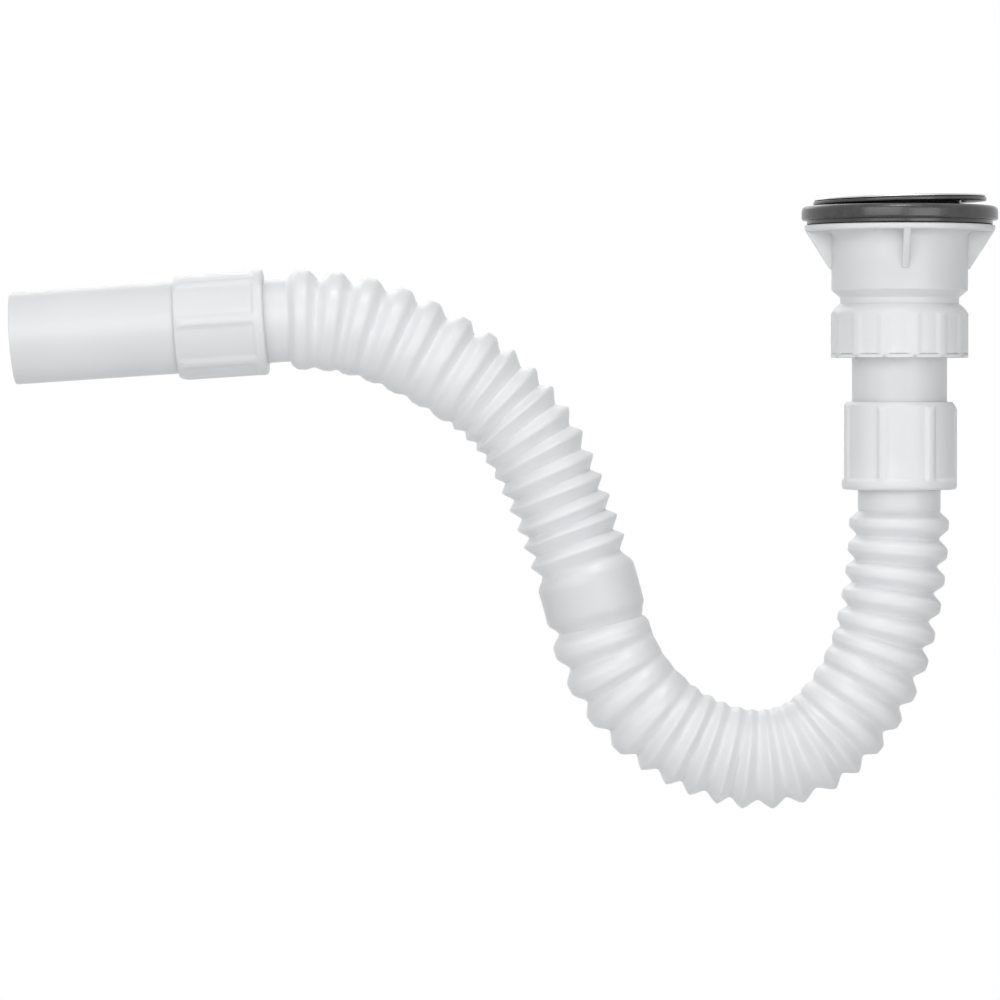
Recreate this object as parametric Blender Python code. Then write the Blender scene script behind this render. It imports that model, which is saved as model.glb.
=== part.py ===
"""Flexible sink trap: sink waste, union nut, tail tube, bellows pipe and outlet spigot.

Frame: metres, +Z up. The origin is where the waste's axis meets the underside of
the sink. The pipe lies in the XZ plane and its outlet points to -X.
"""

import math
from collections import namedtuple

import bmesh
import bpy
from mathutils import Matrix, Vector

# Clearances between pieces
SEAT_GAP = 0.0003          # between faces that rest on each other
RUNNING_GAP = 0.0003       # round shafts, necks and threads

# Drawn size of the axis marks
AXIS_MARK_SIZE = 0.02

# Facets round a full turn
FACETS = 32
BODY_FACETS = 36
PIPE_FACETS = 16

# Bellows pipe
PIPE_NECK_RADIUS = 0.0180
PIPE_CREST_HEIGHT = 0.00375
PIPE_CREST_RADIUS = PIPE_NECK_RADIUS + PIPE_CREST_HEIGHT
PIPE_VALLEY_RELIEF = 0.0004
PIPE_VALLEY_RADIUS = PIPE_NECK_RADIUS - PIPE_VALLEY_RELIEF
PIPE_WALL = 0.0011
PIPE_NECK_INSERTION = 0.0200
FOLD_COLLAPSE_START = 0.45
FOLD_COLLAPSE_LEAST = 0.25

# Bore of both tubes, round the pipe's neck
TUBE_BORE_RADIUS = PIPE_NECK_RADIUS + RUNNING_GAP

# Tail tube
TAIL_WALL = 0.00235
TAIL_RADIUS = TUBE_BORE_RADIUS + TAIL_WALL
TAIL_FLANGE_WIDTH = 0.00325
TAIL_FLANGE_RADIUS = TAIL_RADIUS + TAIL_FLANGE_WIDTH
TAIL_FLANGE_THICKNESS = 0.0024
TAIL_THREAD_HEIGHT = 0.00135
TAIL_THREAD_RADIUS = TAIL_RADIUS + TAIL_THREAD_HEIGHT
TAIL_THREAD_LENGTH = 0.0230
TAIL_WASHER_THICKNESS = 0.0022

# Sink clamp: steel strainer, two gaskets. The strainer and its gasket stand a little
# askew, as in the photo.
STRAINER_TILT = math.radians(1.5)
UPPER_GASKET_RADIUS = 0.0376
UPPER_GASKET_THICKNESS = 0.0016
LOWER_GASKET_RADIUS = 0.0426
LOWER_GASKET_STEP_RADIUS = 0.0403
LOWER_GASKET_RIM = 0.0062
LOWER_GASKET_THICKNESS = 0.0080
LOWER_GASKET_CORNER = 0.0022
GASKET_WIDTH = 0.0084
GASKET_HOLE_RADIUS = UPPER_GASKET_RADIUS - GASKET_WIDTH
STRAINER_INSET = 0.0004
STRAINER_RADIUS = UPPER_GASKET_RADIUS - STRAINER_INSET
STRAINER_SHEET = 0.0008
STRAINER_DISH_DEPTH = 0.0062
STRAINER_SLOPE_WIDTH = 0.0031
STRAINER_HOLE_RADIUS = 0.0028
STRAINER_ROW_INSET = 0.0042
STRAINER_INNER_ROW_SHARE = 0.4545

# Clamping screw and its insert
SCREW_RADIUS = 0.0030
SCREW_HOLE_CLEARANCE = 0.0005
SCREW_HEAD_RADIUS = 0.0055
SCREW_HEAD_HEIGHT = 0.0030
SCREW_LENGTH = 0.0330
SCREW_SLOT_WIDTH = 0.0014
SCREW_SLOT_DEPTH = 0.0013
SCREW_SLOT_TURN = math.radians(28.0)
INSERT_RADIUS = 0.0048
INSERT_LENGTH = 0.0080

# Waste body
FLANGE_RADIUS = 0.0413
FLANGE_THICKNESS = 0.0026
CUP_RADIUS = 0.0296
CUP_WALL = 0.0022
CUP_DEPTH = 0.02775
CUP_CHAMFER = 0.0036
CUP_FILLET = 0.0022
WASTE_THREAD_RADIUS = TAIL_FLANGE_RADIUS
WASTE_THREAD_LENGTH = 0.01315
WASTE_WALL = 0.0031
WASTE_BORE_RADIUS = WASTE_THREAD_RADIUS - WASTE_WALL
NECK_SHOULDER = 0.0019
NECK_RADIUS = WASTE_THREAD_RADIUS + NECK_SHOULDER
NECK_LENGTH = 0.0060
GUSSET_COUNT = 4
GUSSET_THICKNESS = 0.0030
GUSSET_HEIGHT = 0.0166
GUSSET_INSET = 0.0004
GUSSET_TOE = 0.0006
SPIDER_ARMS = 4
SPIDER_ARM_THICKNESS = 0.0025
SPIDER_ARM_HEIGHT = 0.0070
SPIDER_RISE = 0.0020
BOSS_WALL = 0.0024

# Union nut
UNION_WALL = 0.0056
UNION_RADIUS = WASTE_THREAD_RADIUS + RUNNING_GAP + UNION_WALL
UNION_LENGTH = 0.02135
UNION_LIP = 0.0030
UNION_SHOULDER = 0.0046
UNION_CROWN = 0.0018
UNION_CORNER = 0.0026
UNION_RIB_COUNT = 14
UNION_RIB_HEIGHT = 0.00045
UNION_FACING = math.radians(-107.7)

# Ribs of all three nuts: half the width of a rib's top and of its foot
RIB_CREST = math.radians(3.2)
RIB_FOOT = math.radians(6.4)

# Clamp nuts, shared shape
RIB_COUNT = 7
NUT_CHAMFER_LENGTH = 0.0034
NUT_CORNER = 0.0017
NUT_BASE_HEIGHT = 0.0036
NUT_BASE_SLOPE = 0.0018
CLAMP_RING_THICKNESS = 0.0016
CLAMP_SEAL_LENGTH = 0.0060
CLAMP_SEAL_CONE = 0.0022

# Upper clamp nut, on the tail tube
UPPER_NUT_WALL = 0.0027
UPPER_NUT_RADIUS = TAIL_THREAD_RADIUS + RUNNING_GAP + UPPER_NUT_WALL
UPPER_NUT_LENGTH = 0.0381
UPPER_NUT_LIP = 0.0030
UPPER_NUT_RIB_HEIGHT = 0.0010
UPPER_NUT_CHAMFER = 0.0021
UPPER_NUT_FACING = math.radians(-112.1)
UPPER_NUT_BOTTOM = -0.1232

# Outlet spigot and its clamp nut
SPIGOT_WALL = 0.0017
SPIGOT_RADIUS = TUBE_BORE_RADIUS + SPIGOT_WALL
SPIGOT_THREAD_HEIGHT = 0.0009
SPIGOT_THREAD_RADIUS = SPIGOT_RADIUS + SPIGOT_THREAD_HEIGHT
SPIGOT_THREAD_LENGTH = 0.0230
SPIGOT_REACH = 0.0713
SPIGOT_END_CHAMFER = 0.0006
OUTLET_NUT_WALL = 0.0019
OUTLET_NUT_RADIUS = SPIGOT_THREAD_RADIUS + RUNNING_GAP + OUTLET_NUT_WALL
OUTLET_NUT_LENGTH = 0.0388
OUTLET_NUT_LIP = 0.0026
OUTLET_NUT_RIB_HEIGHT = 0.0008
OUTLET_NUT_CHAMFER = 0.0013
OUTLET_NUT_FACING = math.radians(-86.0)

# Lengths of the pipe's runs
UPPER_PLAIN_LENGTH = 0.00935
LEG_PITCH = 0.01117
LEG_LAND = 0.0030
BEND_PITCH = 0.00926
RISE_PITCH = 0.01283
BROAD_LAND = 0.0036
CUFF_LENGTH = 0.02780
CUFF_LAND = 0.0165
ARM_PITCH = 0.00918
OUTLET_PITCH = 0.01270
OUTLET_PLAIN_LENGTH = 0.00960

# One run of the pipe: how many folds, their pitch, how far the run bends, the flat
# land on each crest, and where in the pitch the crest stands
Run = namedtuple("Run", "folds pitch bend_deg land lean")

PIPE_RUNS = (
    Run(0, UPPER_PLAIN_LENGTH, 0.0, 0.0, 0.5),
    Run(5, LEG_PITCH, 14.0, LEG_LAND, 0.5),
    Run(4, LEG_PITCH, 29.4, LEG_LAND, 0.5),
    Run(5, BEND_PITCH, 58.3, 0.0, 0.5),
    Run(4, BEND_PITCH, 25.7, 0.0, 0.5),
    Run(4, RISE_PITCH, 40.1, BROAD_LAND, 0.5),
    Run(1, CUFF_LENGTH, -5.7, CUFF_LAND, 0.5),
    Run(5, ARM_PITCH, -5.6, 0.0, 0.6),
    Run(5, ARM_PITCH, -31.4, 0.0, 0.6),
    Run(3, OUTLET_PITCH, -10.1, BROAD_LAND, 0.5),
    Run(4, OUTLET_PITCH, -28.5, BROAD_LAND, 0.5),
    Run(0, OUTLET_PLAIN_LENGTH, 0.0, 0.0, 0.5),
)

# Where the pipe's bend is hinged: after this many runs, counted from the sink
KNEE_AFTER_RUNS = 9

# Colours
WHITE_PLASTIC = (0.86, 0.87, 0.87, 1.0)
PIPE_PLASTIC = (0.80, 0.82, 0.83, 1.0)
BLACK_RUBBER = (0.02, 0.02, 0.022, 1.0)
GREY_RUBBER = (0.16, 0.16, 0.17, 1.0)
STEEL = (0.62, 0.62, 0.63, 1.0)
BRASS = (0.70, 0.53, 0.24, 1.0)


def clear_scene():
    """Remove every object that the file opened with."""
    for obj in list(bpy.data.objects):
        bpy.data.objects.remove(obj, do_unlink=True)


def make_material(name, colour, roughness, metallic=0.0):
    """Return a Principled material."""
    material = bpy.data.materials.new(name)
    material.use_nodes = True
    shader = material.node_tree.nodes["Principled BSDF"]
    shader.inputs["Base Color"].default_value = colour
    shader.inputs["Roughness"].default_value = roughness
    shader.inputs["Metallic"].default_value = metallic
    return material


def make_empty(name, location, tilt=0.0, parent=None):
    """Return an empty, placed in world space and turned by tilt about Y."""
    empty = bpy.data.objects.new(name, None)
    empty.empty_display_size = AXIS_MARK_SIZE
    bpy.context.scene.collection.objects.link(empty)
    empty.matrix_world = Matrix.Translation(location) @ Matrix.Rotation(tilt, 4, "Y")
    if parent is not None:
        hold_under(empty, parent)
    return empty


def hold_under(obj, parent):
    """Parent an object and leave it where it stands."""
    bpy.context.view_layer.update()
    world = obj.matrix_world.copy()
    obj.parent = parent
    obj.matrix_parent_inverse = parent.matrix_world.inverted()
    obj.matrix_world = world


def make_object(name, bm, material, location=(0.0, 0.0, 0.0), tilt=0.0, parent=None):
    """Turn a bmesh into a smooth-shaded object at a place on its own axis."""
    bmesh.ops.recalc_face_normals(bm, faces=bm.faces)
    if bm.calc_volume(signed=True) < 0.0:
        bmesh.ops.reverse_faces(bm, faces=bm.faces)
    mesh = bpy.data.meshes.new(name)
    bm.to_mesh(mesh)
    bm.free()
    mesh.materials.append(material)
    mesh.shade_smooth()
    mesh.set_sharp_from_angle(angle=math.radians(32.0))
    obj = bpy.data.objects.new(name, mesh)
    bpy.context.scene.collection.objects.link(obj)
    obj.matrix_world = Matrix.Translation(location) @ Matrix.Rotation(tilt, 4, "Y")
    if parent is not None:
        hold_under(obj, parent)
    return obj


def revolve(profile, facets=FACETS):
    """Turn a closed (radius, height) outline about Z into a solid."""
    bm = bmesh.new()
    points = [bm.verts.new((radius, 0.0, height)) for radius, height in profile]
    edges = [bm.edges.new((a, b)) for a, b in zip(points, points[1:] + points[:1])]
    bmesh.ops.spin(bm, geom=points + edges, cent=(0.0, 0.0, 0.0), axis=(0.0, 0.0, 1.0),
                   angle=2.0 * math.pi, steps=facets, use_merge=True, use_duplicate=False)
    bmesh.ops.remove_doubles(bm, verts=bm.verts, dist=1e-6)
    bmesh.ops.dissolve_degenerate(bm, edges=bm.edges, dist=1e-7)
    return bm


def raise_ribs(bm, count, per_rib, radius, height, facing, low, high):
    """Gather the facets into narrow ribs and sink the panels between them.

    A rib has two facet lines on its top and two at its foot; any others divide the
    panel evenly. Panels run from one height to another.
    """
    cell = 2.0 * math.pi / count
    facet = cell / per_rib
    panel_lines = per_rib // 2 - 2
    lines = [RIB_CREST, RIB_FOOT]
    for index in range(panel_lines):
        share = (index + 1) / (panel_lines + 0.5)
        lines.append(RIB_FOOT + share * (0.5 * cell - RIB_FOOT))
    for vert in bm.verts:
        flat = math.hypot(vert.co.x, vert.co.y)
        angle = math.atan2(vert.co.y, vert.co.x) - 0.5 * facet
        rib = round(angle / cell)
        offset = angle - rib * cell
        line = int(abs(offset) / facet)
        if line > 0 and flat > radius - 1e-6 and low - 1e-6 < vert.co.z < high + 1e-6:
            flat -= height
        turned = facing + rib * cell + math.copysign(lines[line], offset)
        vert.co.x = flat * math.cos(turned)
        vert.co.y = flat * math.sin(turned)


def rounded_corner(centre_r, centre_z, size, start_deg, end_deg, steps=2):
    """Return the points of a quarter round, given its centre."""
    points = []
    for step in range(steps + 1):
        angle = math.radians(start_deg + (end_deg - start_deg) * step / steps)
        points.append((centre_r + size * math.cos(angle), centre_z + size * math.sin(angle)))
    return points


def cylinder_cutter(radius, low, high, place=(0.0, 0.0), facets=12):
    """Return a bmesh cylinder between two heights."""
    bm = bmesh.new()
    centre = Matrix.Translation((place[0], place[1], 0.5 * (low + high)))
    bmesh.ops.create_cone(bm, cap_ends=True, segments=facets, radius1=radius, radius2=radius,
                          depth=high - low, matrix=centre)
    return bm


def box_mesh(size, centre, turn=0.0):
    """Return a bmesh box turned about Z."""
    bm = bmesh.new()
    place = Matrix.Rotation(turn, 4, "Z") @ Matrix.Translation(centre)
    bmesh.ops.create_cube(bm, size=1.0, matrix=place @ Matrix.Diagonal((*size, 1.0)))
    return bm


def combine(target, tool, operation):
    """Apply a Boolean between two bmeshes and return the result."""
    objects = []
    for name, bm in (("combine_target", target), ("combine_tool", tool)):
        bmesh.ops.recalc_face_normals(bm, faces=bm.faces)
        mesh = bpy.data.meshes.new(name)
        bm.to_mesh(mesh)
        bm.free()
        obj = bpy.data.objects.new(name, mesh)
        bpy.context.scene.collection.objects.link(obj)
        objects.append(obj)
    modifier = objects[0].modifiers.new("combine", "BOOLEAN")
    modifier.operation = operation
    modifier.solver = "EXACT"
    modifier.object = objects[1]
    evaluated = objects[0].evaluated_get(bpy.context.evaluated_depsgraph_get())
    result = bmesh.new()
    result.from_mesh(evaluated.to_mesh())
    for obj in objects:
        bpy.data.objects.remove(obj, do_unlink=True)
    return result


def merged(parts):
    """Union a list of bmeshes into one."""
    whole = parts[0]
    for part in parts[1:]:
        whole = combine(whole, part, "UNION")
    return whole


# Heights down the waste's axis, worked out from the sizes above
CLAMP_HALF_GAP = 0.5 * SEAT_GAP
LOWER_GASKET_BOTTOM = -CLAMP_HALF_GAP - LOWER_GASKET_THICKNESS
FLANGE_TOP = LOWER_GASKET_BOTTOM - SEAT_GAP
CUP_BOTTOM = FLANGE_TOP - CUP_DEPTH
NECK_BOTTOM = CUP_BOTTOM - NECK_LENGTH
WASTE_BOTTOM = NECK_BOTTOM - WASTE_THREAD_LENGTH
CUP_BORE_RADIUS = CUP_RADIUS - CUP_WALL
STRAINER_SEAT = CLAMP_HALF_GAP + UPPER_GASKET_THICKNESS + SEAT_GAP
STRAINER_TOP = STRAINER_SEAT + STRAINER_SHEET
STRAINER_FLOOR = STRAINER_TOP - STRAINER_DISH_DEPTH
STRAINER_LIFT = UPPER_GASKET_RADIUS * math.sin(STRAINER_TILT)
DISH_EDGE_RADIUS = GASKET_HOLE_RADIUS - 2.0 * STRAINER_SHEET
STRAINER_FLOOR_RADIUS = DISH_EDGE_RADIUS - STRAINER_SLOPE_WIDTH
SCREW_SEAT_RADIUS = SCREW_HEAD_RADIUS + SCREW_HOLE_CLEARANCE
OUTER_ROW_RADIUS = STRAINER_FLOOR_RADIUS - STRAINER_ROW_INSET
INNER_ROW_RADIUS = (SCREW_SEAT_RADIUS
                    + STRAINER_INNER_ROW_SHARE * (OUTER_ROW_RADIUS - SCREW_SEAT_RADIUS))
STRAINER_HOLE_ROWS = ((6, INNER_ROW_RADIUS), (12, OUTER_ROW_RADIUS))
SCREW_HEAD_TOP = STRAINER_LIFT + STRAINER_FLOOR + SEAT_GAP
BOSS_RADIUS = INSERT_RADIUS + SEAT_GAP + BOSS_WALL
SPIDER_BOTTOM = CUP_BOTTOM + SPIDER_RISE
INSERT_BOTTOM = SPIDER_BOTTOM
INSERT_TOP = INSERT_BOTTOM + INSERT_LENGTH

TAIL_WASHER_TOP = WASTE_BOTTOM - SEAT_GAP
TAIL_TOP = TAIL_WASHER_TOP - TAIL_WASHER_THICKNESS - SEAT_GAP
UNION_LIP_TOP = TAIL_TOP - TAIL_FLANGE_THICKNESS - SEAT_GAP
UNION_BOTTOM = UNION_LIP_TOP - UNION_LIP
UNION_TOP = UNION_BOTTOM + UNION_LENGTH

# A clamp's inner pieces, measured from the nut's face on the pipe's side
Clamp = namedtuple("Clamp", "ring seal tube thread_radius")


def clamp_stack(lip, thread_radius):
    """Return where the ring, the seal and the tube's end lie inside a clamp nut."""
    ring = lip + SEAT_GAP
    seal = ring + CLAMP_RING_THICKNESS + SEAT_GAP
    tube = seal + CLAMP_SEAL_LENGTH + SEAT_GAP
    return Clamp(ring, seal, tube, thread_radius)


UPPER_CLAMP = clamp_stack(UPPER_NUT_LIP, TAIL_THREAD_RADIUS)
OUTLET_CLAMP = clamp_stack(OUTLET_NUT_LIP, SPIGOT_THREAD_RADIUS)
TAIL_BOTTOM = UPPER_NUT_BOTTOM + UPPER_CLAMP.tube


def heading_vector(heading):
    """Return the pipe's direction: 0 is straight down, a quarter turn points to -X."""
    return Vector((-math.sin(heading), 0.0, -math.cos(heading)))


def pipe_stations():
    """Walk down the pipe and return its rings and the places where its runs end.

    A ring is (centre, heading, radius, curvature).
    """
    centre = Vector((0.0, 0.0, UPPER_NUT_BOTTOM))
    heading = 0.0
    rings = []
    run_ends = []
    for run in PIPE_RUNS:
        steps = max(run.folds, 1)
        curvature = math.radians(run.bend_deg) / (steps * run.pitch)
        for _ in range(steps):
            for share, radius in fold_outline(run):
                at, turned = along_arc(centre, heading, share * run.pitch, curvature)
                rings.append((at, turned, radius, curvature))
            centre, heading = along_arc(centre, heading, run.pitch, curvature)
        run_ends.append((centre, heading))
    return rings, run_ends


def along_arc(centre, heading, length, curvature):
    """Move a length along an arc and return the new place and heading."""
    turn = curvature * length
    half = 0.5 * turn
    chord = length if abs(half) < 1e-9 else length * math.sin(half) / half
    return centre + heading_vector(heading + half) * chord, heading + turn


def fold_outline(run):
    """Return one fold's rings as (share of the pitch, radius)."""
    if run.folds == 0:
        return ((0.0, PIPE_NECK_RADIUS),)
    if run.land == 0.0:
        return ((0.0, PIPE_VALLEY_RADIUS), (run.lean, PIPE_CREST_RADIUS))
    half_land = 0.5 * run.land / run.pitch
    return ((0.0, PIPE_VALLEY_RADIUS), (run.lean - half_land, PIPE_CREST_RADIUS),
            (run.lean + half_land, PIPE_CREST_RADIUS))


def ring_points(centre, heading, radius, curvature, wall):
    """Return a ring's points; folds close up on the inner side of a bend."""
    inward = Vector((-math.cos(heading), 0.0, math.sin(heading)))
    sideways = Vector((0.0, 1.0, 0.0))
    points = []
    for index in range(PIPE_FACETS):
        angle = 2.0 * math.pi * index / PIPE_FACETS
        reach = radius
        if radius == PIPE_VALLEY_RADIUS:
            room = 1.0 - curvature * PIPE_CREST_RADIUS * math.cos(angle)
            depth = (room - FOLD_COLLAPSE_START) / (1.0 - FOLD_COLLAPSE_START)
            depth = min(1.0, max(FOLD_COLLAPSE_LEAST, depth))
            reach = PIPE_CREST_RADIUS - depth * (PIPE_CREST_RADIUS - PIPE_VALLEY_RADIUS)
        reach -= wall
        points.append(centre + inward * (reach * math.cos(angle)) + sideways * (reach * math.sin(angle)))
    return points


def skin(rings):
    """Close a chain of rings into one tube wall."""
    bm = bmesh.new()
    loops = [[bm.verts.new(point) for point in ring] for ring in rings]
    for near, far in zip(loops, loops[1:] + loops[:1]):
        for index in range(PIPE_FACETS):
            after = (index + 1) % PIPE_FACETS
            bm.faces.new((near[index], near[after], far[after], far[index]))
    return bm


def build_bellows(material, rings, run_ends):
    """The pipe: one blown moulding with a neck at each end and a plain cuff in it."""
    start = Vector((0.0, 0.0, UPPER_NUT_BOTTOM))
    upper_end = start + Vector((0.0, 0.0, UPPER_CLAMP.tube + PIPE_NECK_INSERTION))
    outlet, heading = run_ends[-1]
    outlet_end = outlet + heading_vector(heading) * (OUTLET_CLAMP.tube + PIPE_NECK_INSERTION)
    neck = PIPE_NECK_RADIUS
    chain = [(upper_end, 0.0, neck, 0.0)] + rings
    chain.append((outlet_end, heading, neck, 0.0))
    outer = [ring_points(*ring, 0.0) for ring in chain]
    inner = [ring_points(*ring, PIPE_WALL) for ring in reversed(chain)]
    bm = skin(outer + inner)
    bmesh.ops.translate(bm, vec=-start, verts=bm.verts)
    return make_object("bellows_pipe", bm, material, start)


def build_gaskets(material):
    """The two rubber rings that grip the sink."""
    low = CLAMP_HALF_GAP
    high = low + UPPER_GASKET_THICKNESS
    upper = [(GASKET_HOLE_RADIUS, low), (UPPER_GASKET_RADIUS, low)]
    upper += [(UPPER_GASKET_RADIUS, high), (GASKET_HOLE_RADIUS, high)]
    make_object("upper_gasket", revolve(upper), material, (0.0, 0.0, STRAINER_LIFT), -STRAINER_TILT)
    top = -CLAMP_HALF_GAP
    shoulder = top - LOWER_GASKET_RIM
    corner = LOWER_GASKET_CORNER
    lower = [(GASKET_HOLE_RADIUS, LOWER_GASKET_BOTTOM), (LOWER_GASKET_STEP_RADIUS, LOWER_GASKET_BOTTOM)]
    lower += [(LOWER_GASKET_STEP_RADIUS, shoulder)]
    lower += rounded_corner(LOWER_GASKET_RADIUS - corner, shoulder + corner, corner, -90.0, 0.0)
    lower += rounded_corner(LOWER_GASKET_RADIUS - corner, top - corner, corner, 0.0, 90.0)
    lower += [(GASKET_HOLE_RADIUS, top)]
    make_object("lower_gasket", revolve(lower), material)


def build_strainer(material):
    """The pressed steel strainer: a rim on the gasket and a pierced dish below it."""
    sheet = STRAINER_SHEET
    dish_edge = DISH_EDGE_RADIUS
    screw_hole = SCREW_RADIUS + SCREW_HOLE_CLEARANCE
    head_seat = SCREW_SEAT_RADIUS
    seat_bottom = STRAINER_FLOOR - SCREW_HEAD_HEIGHT
    top = [(screw_hole, seat_bottom), (head_seat, STRAINER_FLOOR), (STRAINER_FLOOR_RADIUS, STRAINER_FLOOR)]
    top += [(dish_edge, STRAINER_TOP), (STRAINER_RADIUS, STRAINER_TOP)]
    bottom = [(STRAINER_RADIUS, STRAINER_SEAT), (dish_edge - 0.3 * sheet, STRAINER_SEAT)]
    bottom += [(STRAINER_FLOOR_RADIUS - 0.3 * sheet, STRAINER_FLOOR - sheet)]
    bottom += [(head_seat + 0.6 * sheet, STRAINER_FLOOR - sheet), (screw_hole + sheet, seat_bottom - sheet)]
    bottom += [(screw_hole, seat_bottom - sheet)]
    plate = revolve(top + bottom)
    for count, row_radius in STRAINER_HOLE_ROWS:
        for index in range(count):
            angle = 2.0 * math.pi * index / count
            place = (row_radius * math.cos(angle), row_radius * math.sin(angle))
            cutter = cylinder_cutter(STRAINER_HOLE_RADIUS, STRAINER_FLOOR - 4.0 * sheet,
                                     STRAINER_FLOOR + 2.0 * sheet, place, 8)
            plate = combine(plate, cutter, "DIFFERENCE")
    make_object("strainer_plate", plate, material, (0.0, 0.0, STRAINER_LIFT), -STRAINER_TILT)


def build_screw(steel, brass):
    """The slotted clamping screw and the brass insert that it threads into."""
    head_bottom = SCREW_HEAD_TOP - SCREW_HEAD_HEIGHT
    tip = SCREW_HEAD_TOP - SCREW_LENGTH
    point = 0.4 * SCREW_RADIUS
    outline = [(0.0, tip), (SCREW_RADIUS - point, tip), (SCREW_RADIUS, tip + point)]
    outline += [(SCREW_RADIUS, head_bottom), (SCREW_HEAD_RADIUS, SCREW_HEAD_TOP), (0.0, SCREW_HEAD_TOP)]
    screw = revolve(outline, 20)
    size = (3.0 * SCREW_HEAD_RADIUS, SCREW_SLOT_WIDTH, 2.0 * SCREW_SLOT_DEPTH)
    screw = combine(screw, box_mesh(size, (0.0, 0.0, SCREW_HEAD_TOP), SCREW_SLOT_TURN), "DIFFERENCE")
    make_object("strainer_screw", screw, steel)
    bore = SCREW_RADIUS + RUNNING_GAP
    insert = [(bore, INSERT_BOTTOM), (INSERT_RADIUS, INSERT_BOTTOM)]
    insert += [(INSERT_RADIUS, INSERT_TOP), (bore, INSERT_TOP)]
    make_object("screw_insert", revolve(insert, 20), brass)


def build_waste_body(material):
    """The moulded waste: flange, gusseted cup, spider with its boss, neck and thread."""
    chamfer_bottom = CUP_BOTTOM - CUP_CHAMFER
    body = [(CUP_BORE_RADIUS, FLANGE_TOP), (CUP_BORE_RADIUS, CUP_BOTTOM + CUP_CHAMFER)]
    body += [(WASTE_BORE_RADIUS, chamfer_bottom - CUP_WALL), (WASTE_BORE_RADIUS, WASTE_BOTTOM)]
    body += [(WASTE_THREAD_RADIUS, WASTE_BOTTOM), (WASTE_THREAD_RADIUS, NECK_BOTTOM)]
    body += [(NECK_RADIUS, NECK_BOTTOM), (NECK_RADIUS, chamfer_bottom), (CUP_RADIUS, CUP_BOTTOM)]
    flange_bottom = FLANGE_TOP - FLANGE_THICKNESS
    body += rounded_corner(CUP_RADIUS + CUP_FILLET, flange_bottom - CUP_FILLET, CUP_FILLET, 180.0, 90.0)
    body += [(FLANGE_RADIUS, flange_bottom), (FLANGE_RADIUS, FLANGE_TOP)]
    shell = revolve(body, BODY_FACETS)
    parts = [shell]
    for index in range(GUSSET_COUNT):
        parts.append(gusset(2.0 * math.pi * index / GUSSET_COUNT))
    boss_bottom = SPIDER_BOTTOM - BOSS_WALL
    boss_top = INSERT_TOP + SEAT_GAP
    arm_reach = CUP_BORE_RADIUS + 0.5 * CUP_WALL
    arm_size = (arm_reach, SPIDER_ARM_THICKNESS, SPIDER_ARM_HEIGHT)
    arm_centre = (0.5 * arm_reach, 0.0, SPIDER_BOTTOM + 0.5 * SPIDER_ARM_HEIGHT)
    hub = cylinder_cutter(BOSS_RADIUS, boss_bottom, boss_top, facets=24)
    for index in range(SPIDER_ARMS):
        turn = 2.0 * math.pi * (index + 0.5) / SPIDER_ARMS
        hub = combine(hub, box_mesh(arm_size, arm_centre, turn), "UNION")
    parts.append(hub)
    whole = merged(parts)
    pocket = cylinder_cutter(INSERT_RADIUS + SEAT_GAP, INSERT_BOTTOM - SEAT_GAP, boss_top + BOSS_WALL, facets=20)
    whole = combine(whole, pocket, "DIFFERENCE")
    way_through = cylinder_cutter(SCREW_RADIUS + RUNNING_GAP, boss_bottom - BOSS_WALL, boss_top, facets=20)
    whole = combine(whole, way_through, "DIFFERENCE")
    make_object("waste_body", whole, material)


def gusset(turn):
    """Return one tapered web between the flange and the cup."""
    inner = CUP_RADIUS - 0.5 * CUP_WALL
    outer = FLANGE_RADIUS - GUSSET_INSET
    high = FLANGE_TOP - 0.5 * FLANGE_THICKNESS
    low = FLANGE_TOP - FLANGE_THICKNESS - GUSSET_HEIGHT
    shoulder = FLANGE_TOP - FLANGE_THICKNESS
    outline = ((inner, high), (outer, high), (outer, shoulder), (CUP_RADIUS + GUSSET_TOE, low), (inner, low))
    bm = bmesh.new()
    half = 0.5 * GUSSET_THICKNESS
    face = bm.faces.new([bm.verts.new((radius, -half, height)) for radius, height in outline])
    grown = bmesh.ops.extrude_face_region(bm, geom=[face])
    moved = [item for item in grown["geom"] if isinstance(item, bmesh.types.BMVert)]
    bmesh.ops.translate(bm, vec=(0.0, GUSSET_THICKNESS, 0.0), verts=moved)
    bmesh.ops.rotate(bm, cent=(0.0, 0.0, 0.0), matrix=Matrix.Rotation(turn, 3, "Z"), verts=bm.verts)
    return bm


def build_union_nut(material):
    """The ribbed nut that draws the tail tube's flange up to the waste."""
    bore = WASTE_THREAD_RADIUS + RUNNING_GAP
    throat = TAIL_RADIUS + RUNNING_GAP
    mouth = WASTE_THREAD_RADIUS + NECK_SHOULDER
    low = UNION_BOTTOM + UNION_CORNER
    high = UNION_TOP - UNION_SHOULDER
    outline = [(throat, UNION_BOTTOM)]
    outline += rounded_corner(UNION_RADIUS - UNION_CORNER, low, UNION_CORNER, -90.0, 0.0)
    outline += [(UNION_RADIUS, high)]
    outline += [(UNION_RADIUS - UNION_CROWN, UNION_TOP - 0.45 * UNION_SHOULDER), (mouth, UNION_TOP)]
    outline += [(bore, UNION_TOP), (bore, UNION_LIP_TOP), (throat, UNION_LIP_TOP)]
    bm = revolve(outline, 4 * UNION_RIB_COUNT)
    raise_ribs(bm, UNION_RIB_COUNT, 4, UNION_RADIUS, UNION_RIB_HEIGHT, UNION_FACING, low, high)
    make_object("union_nut", bm, material)


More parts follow.
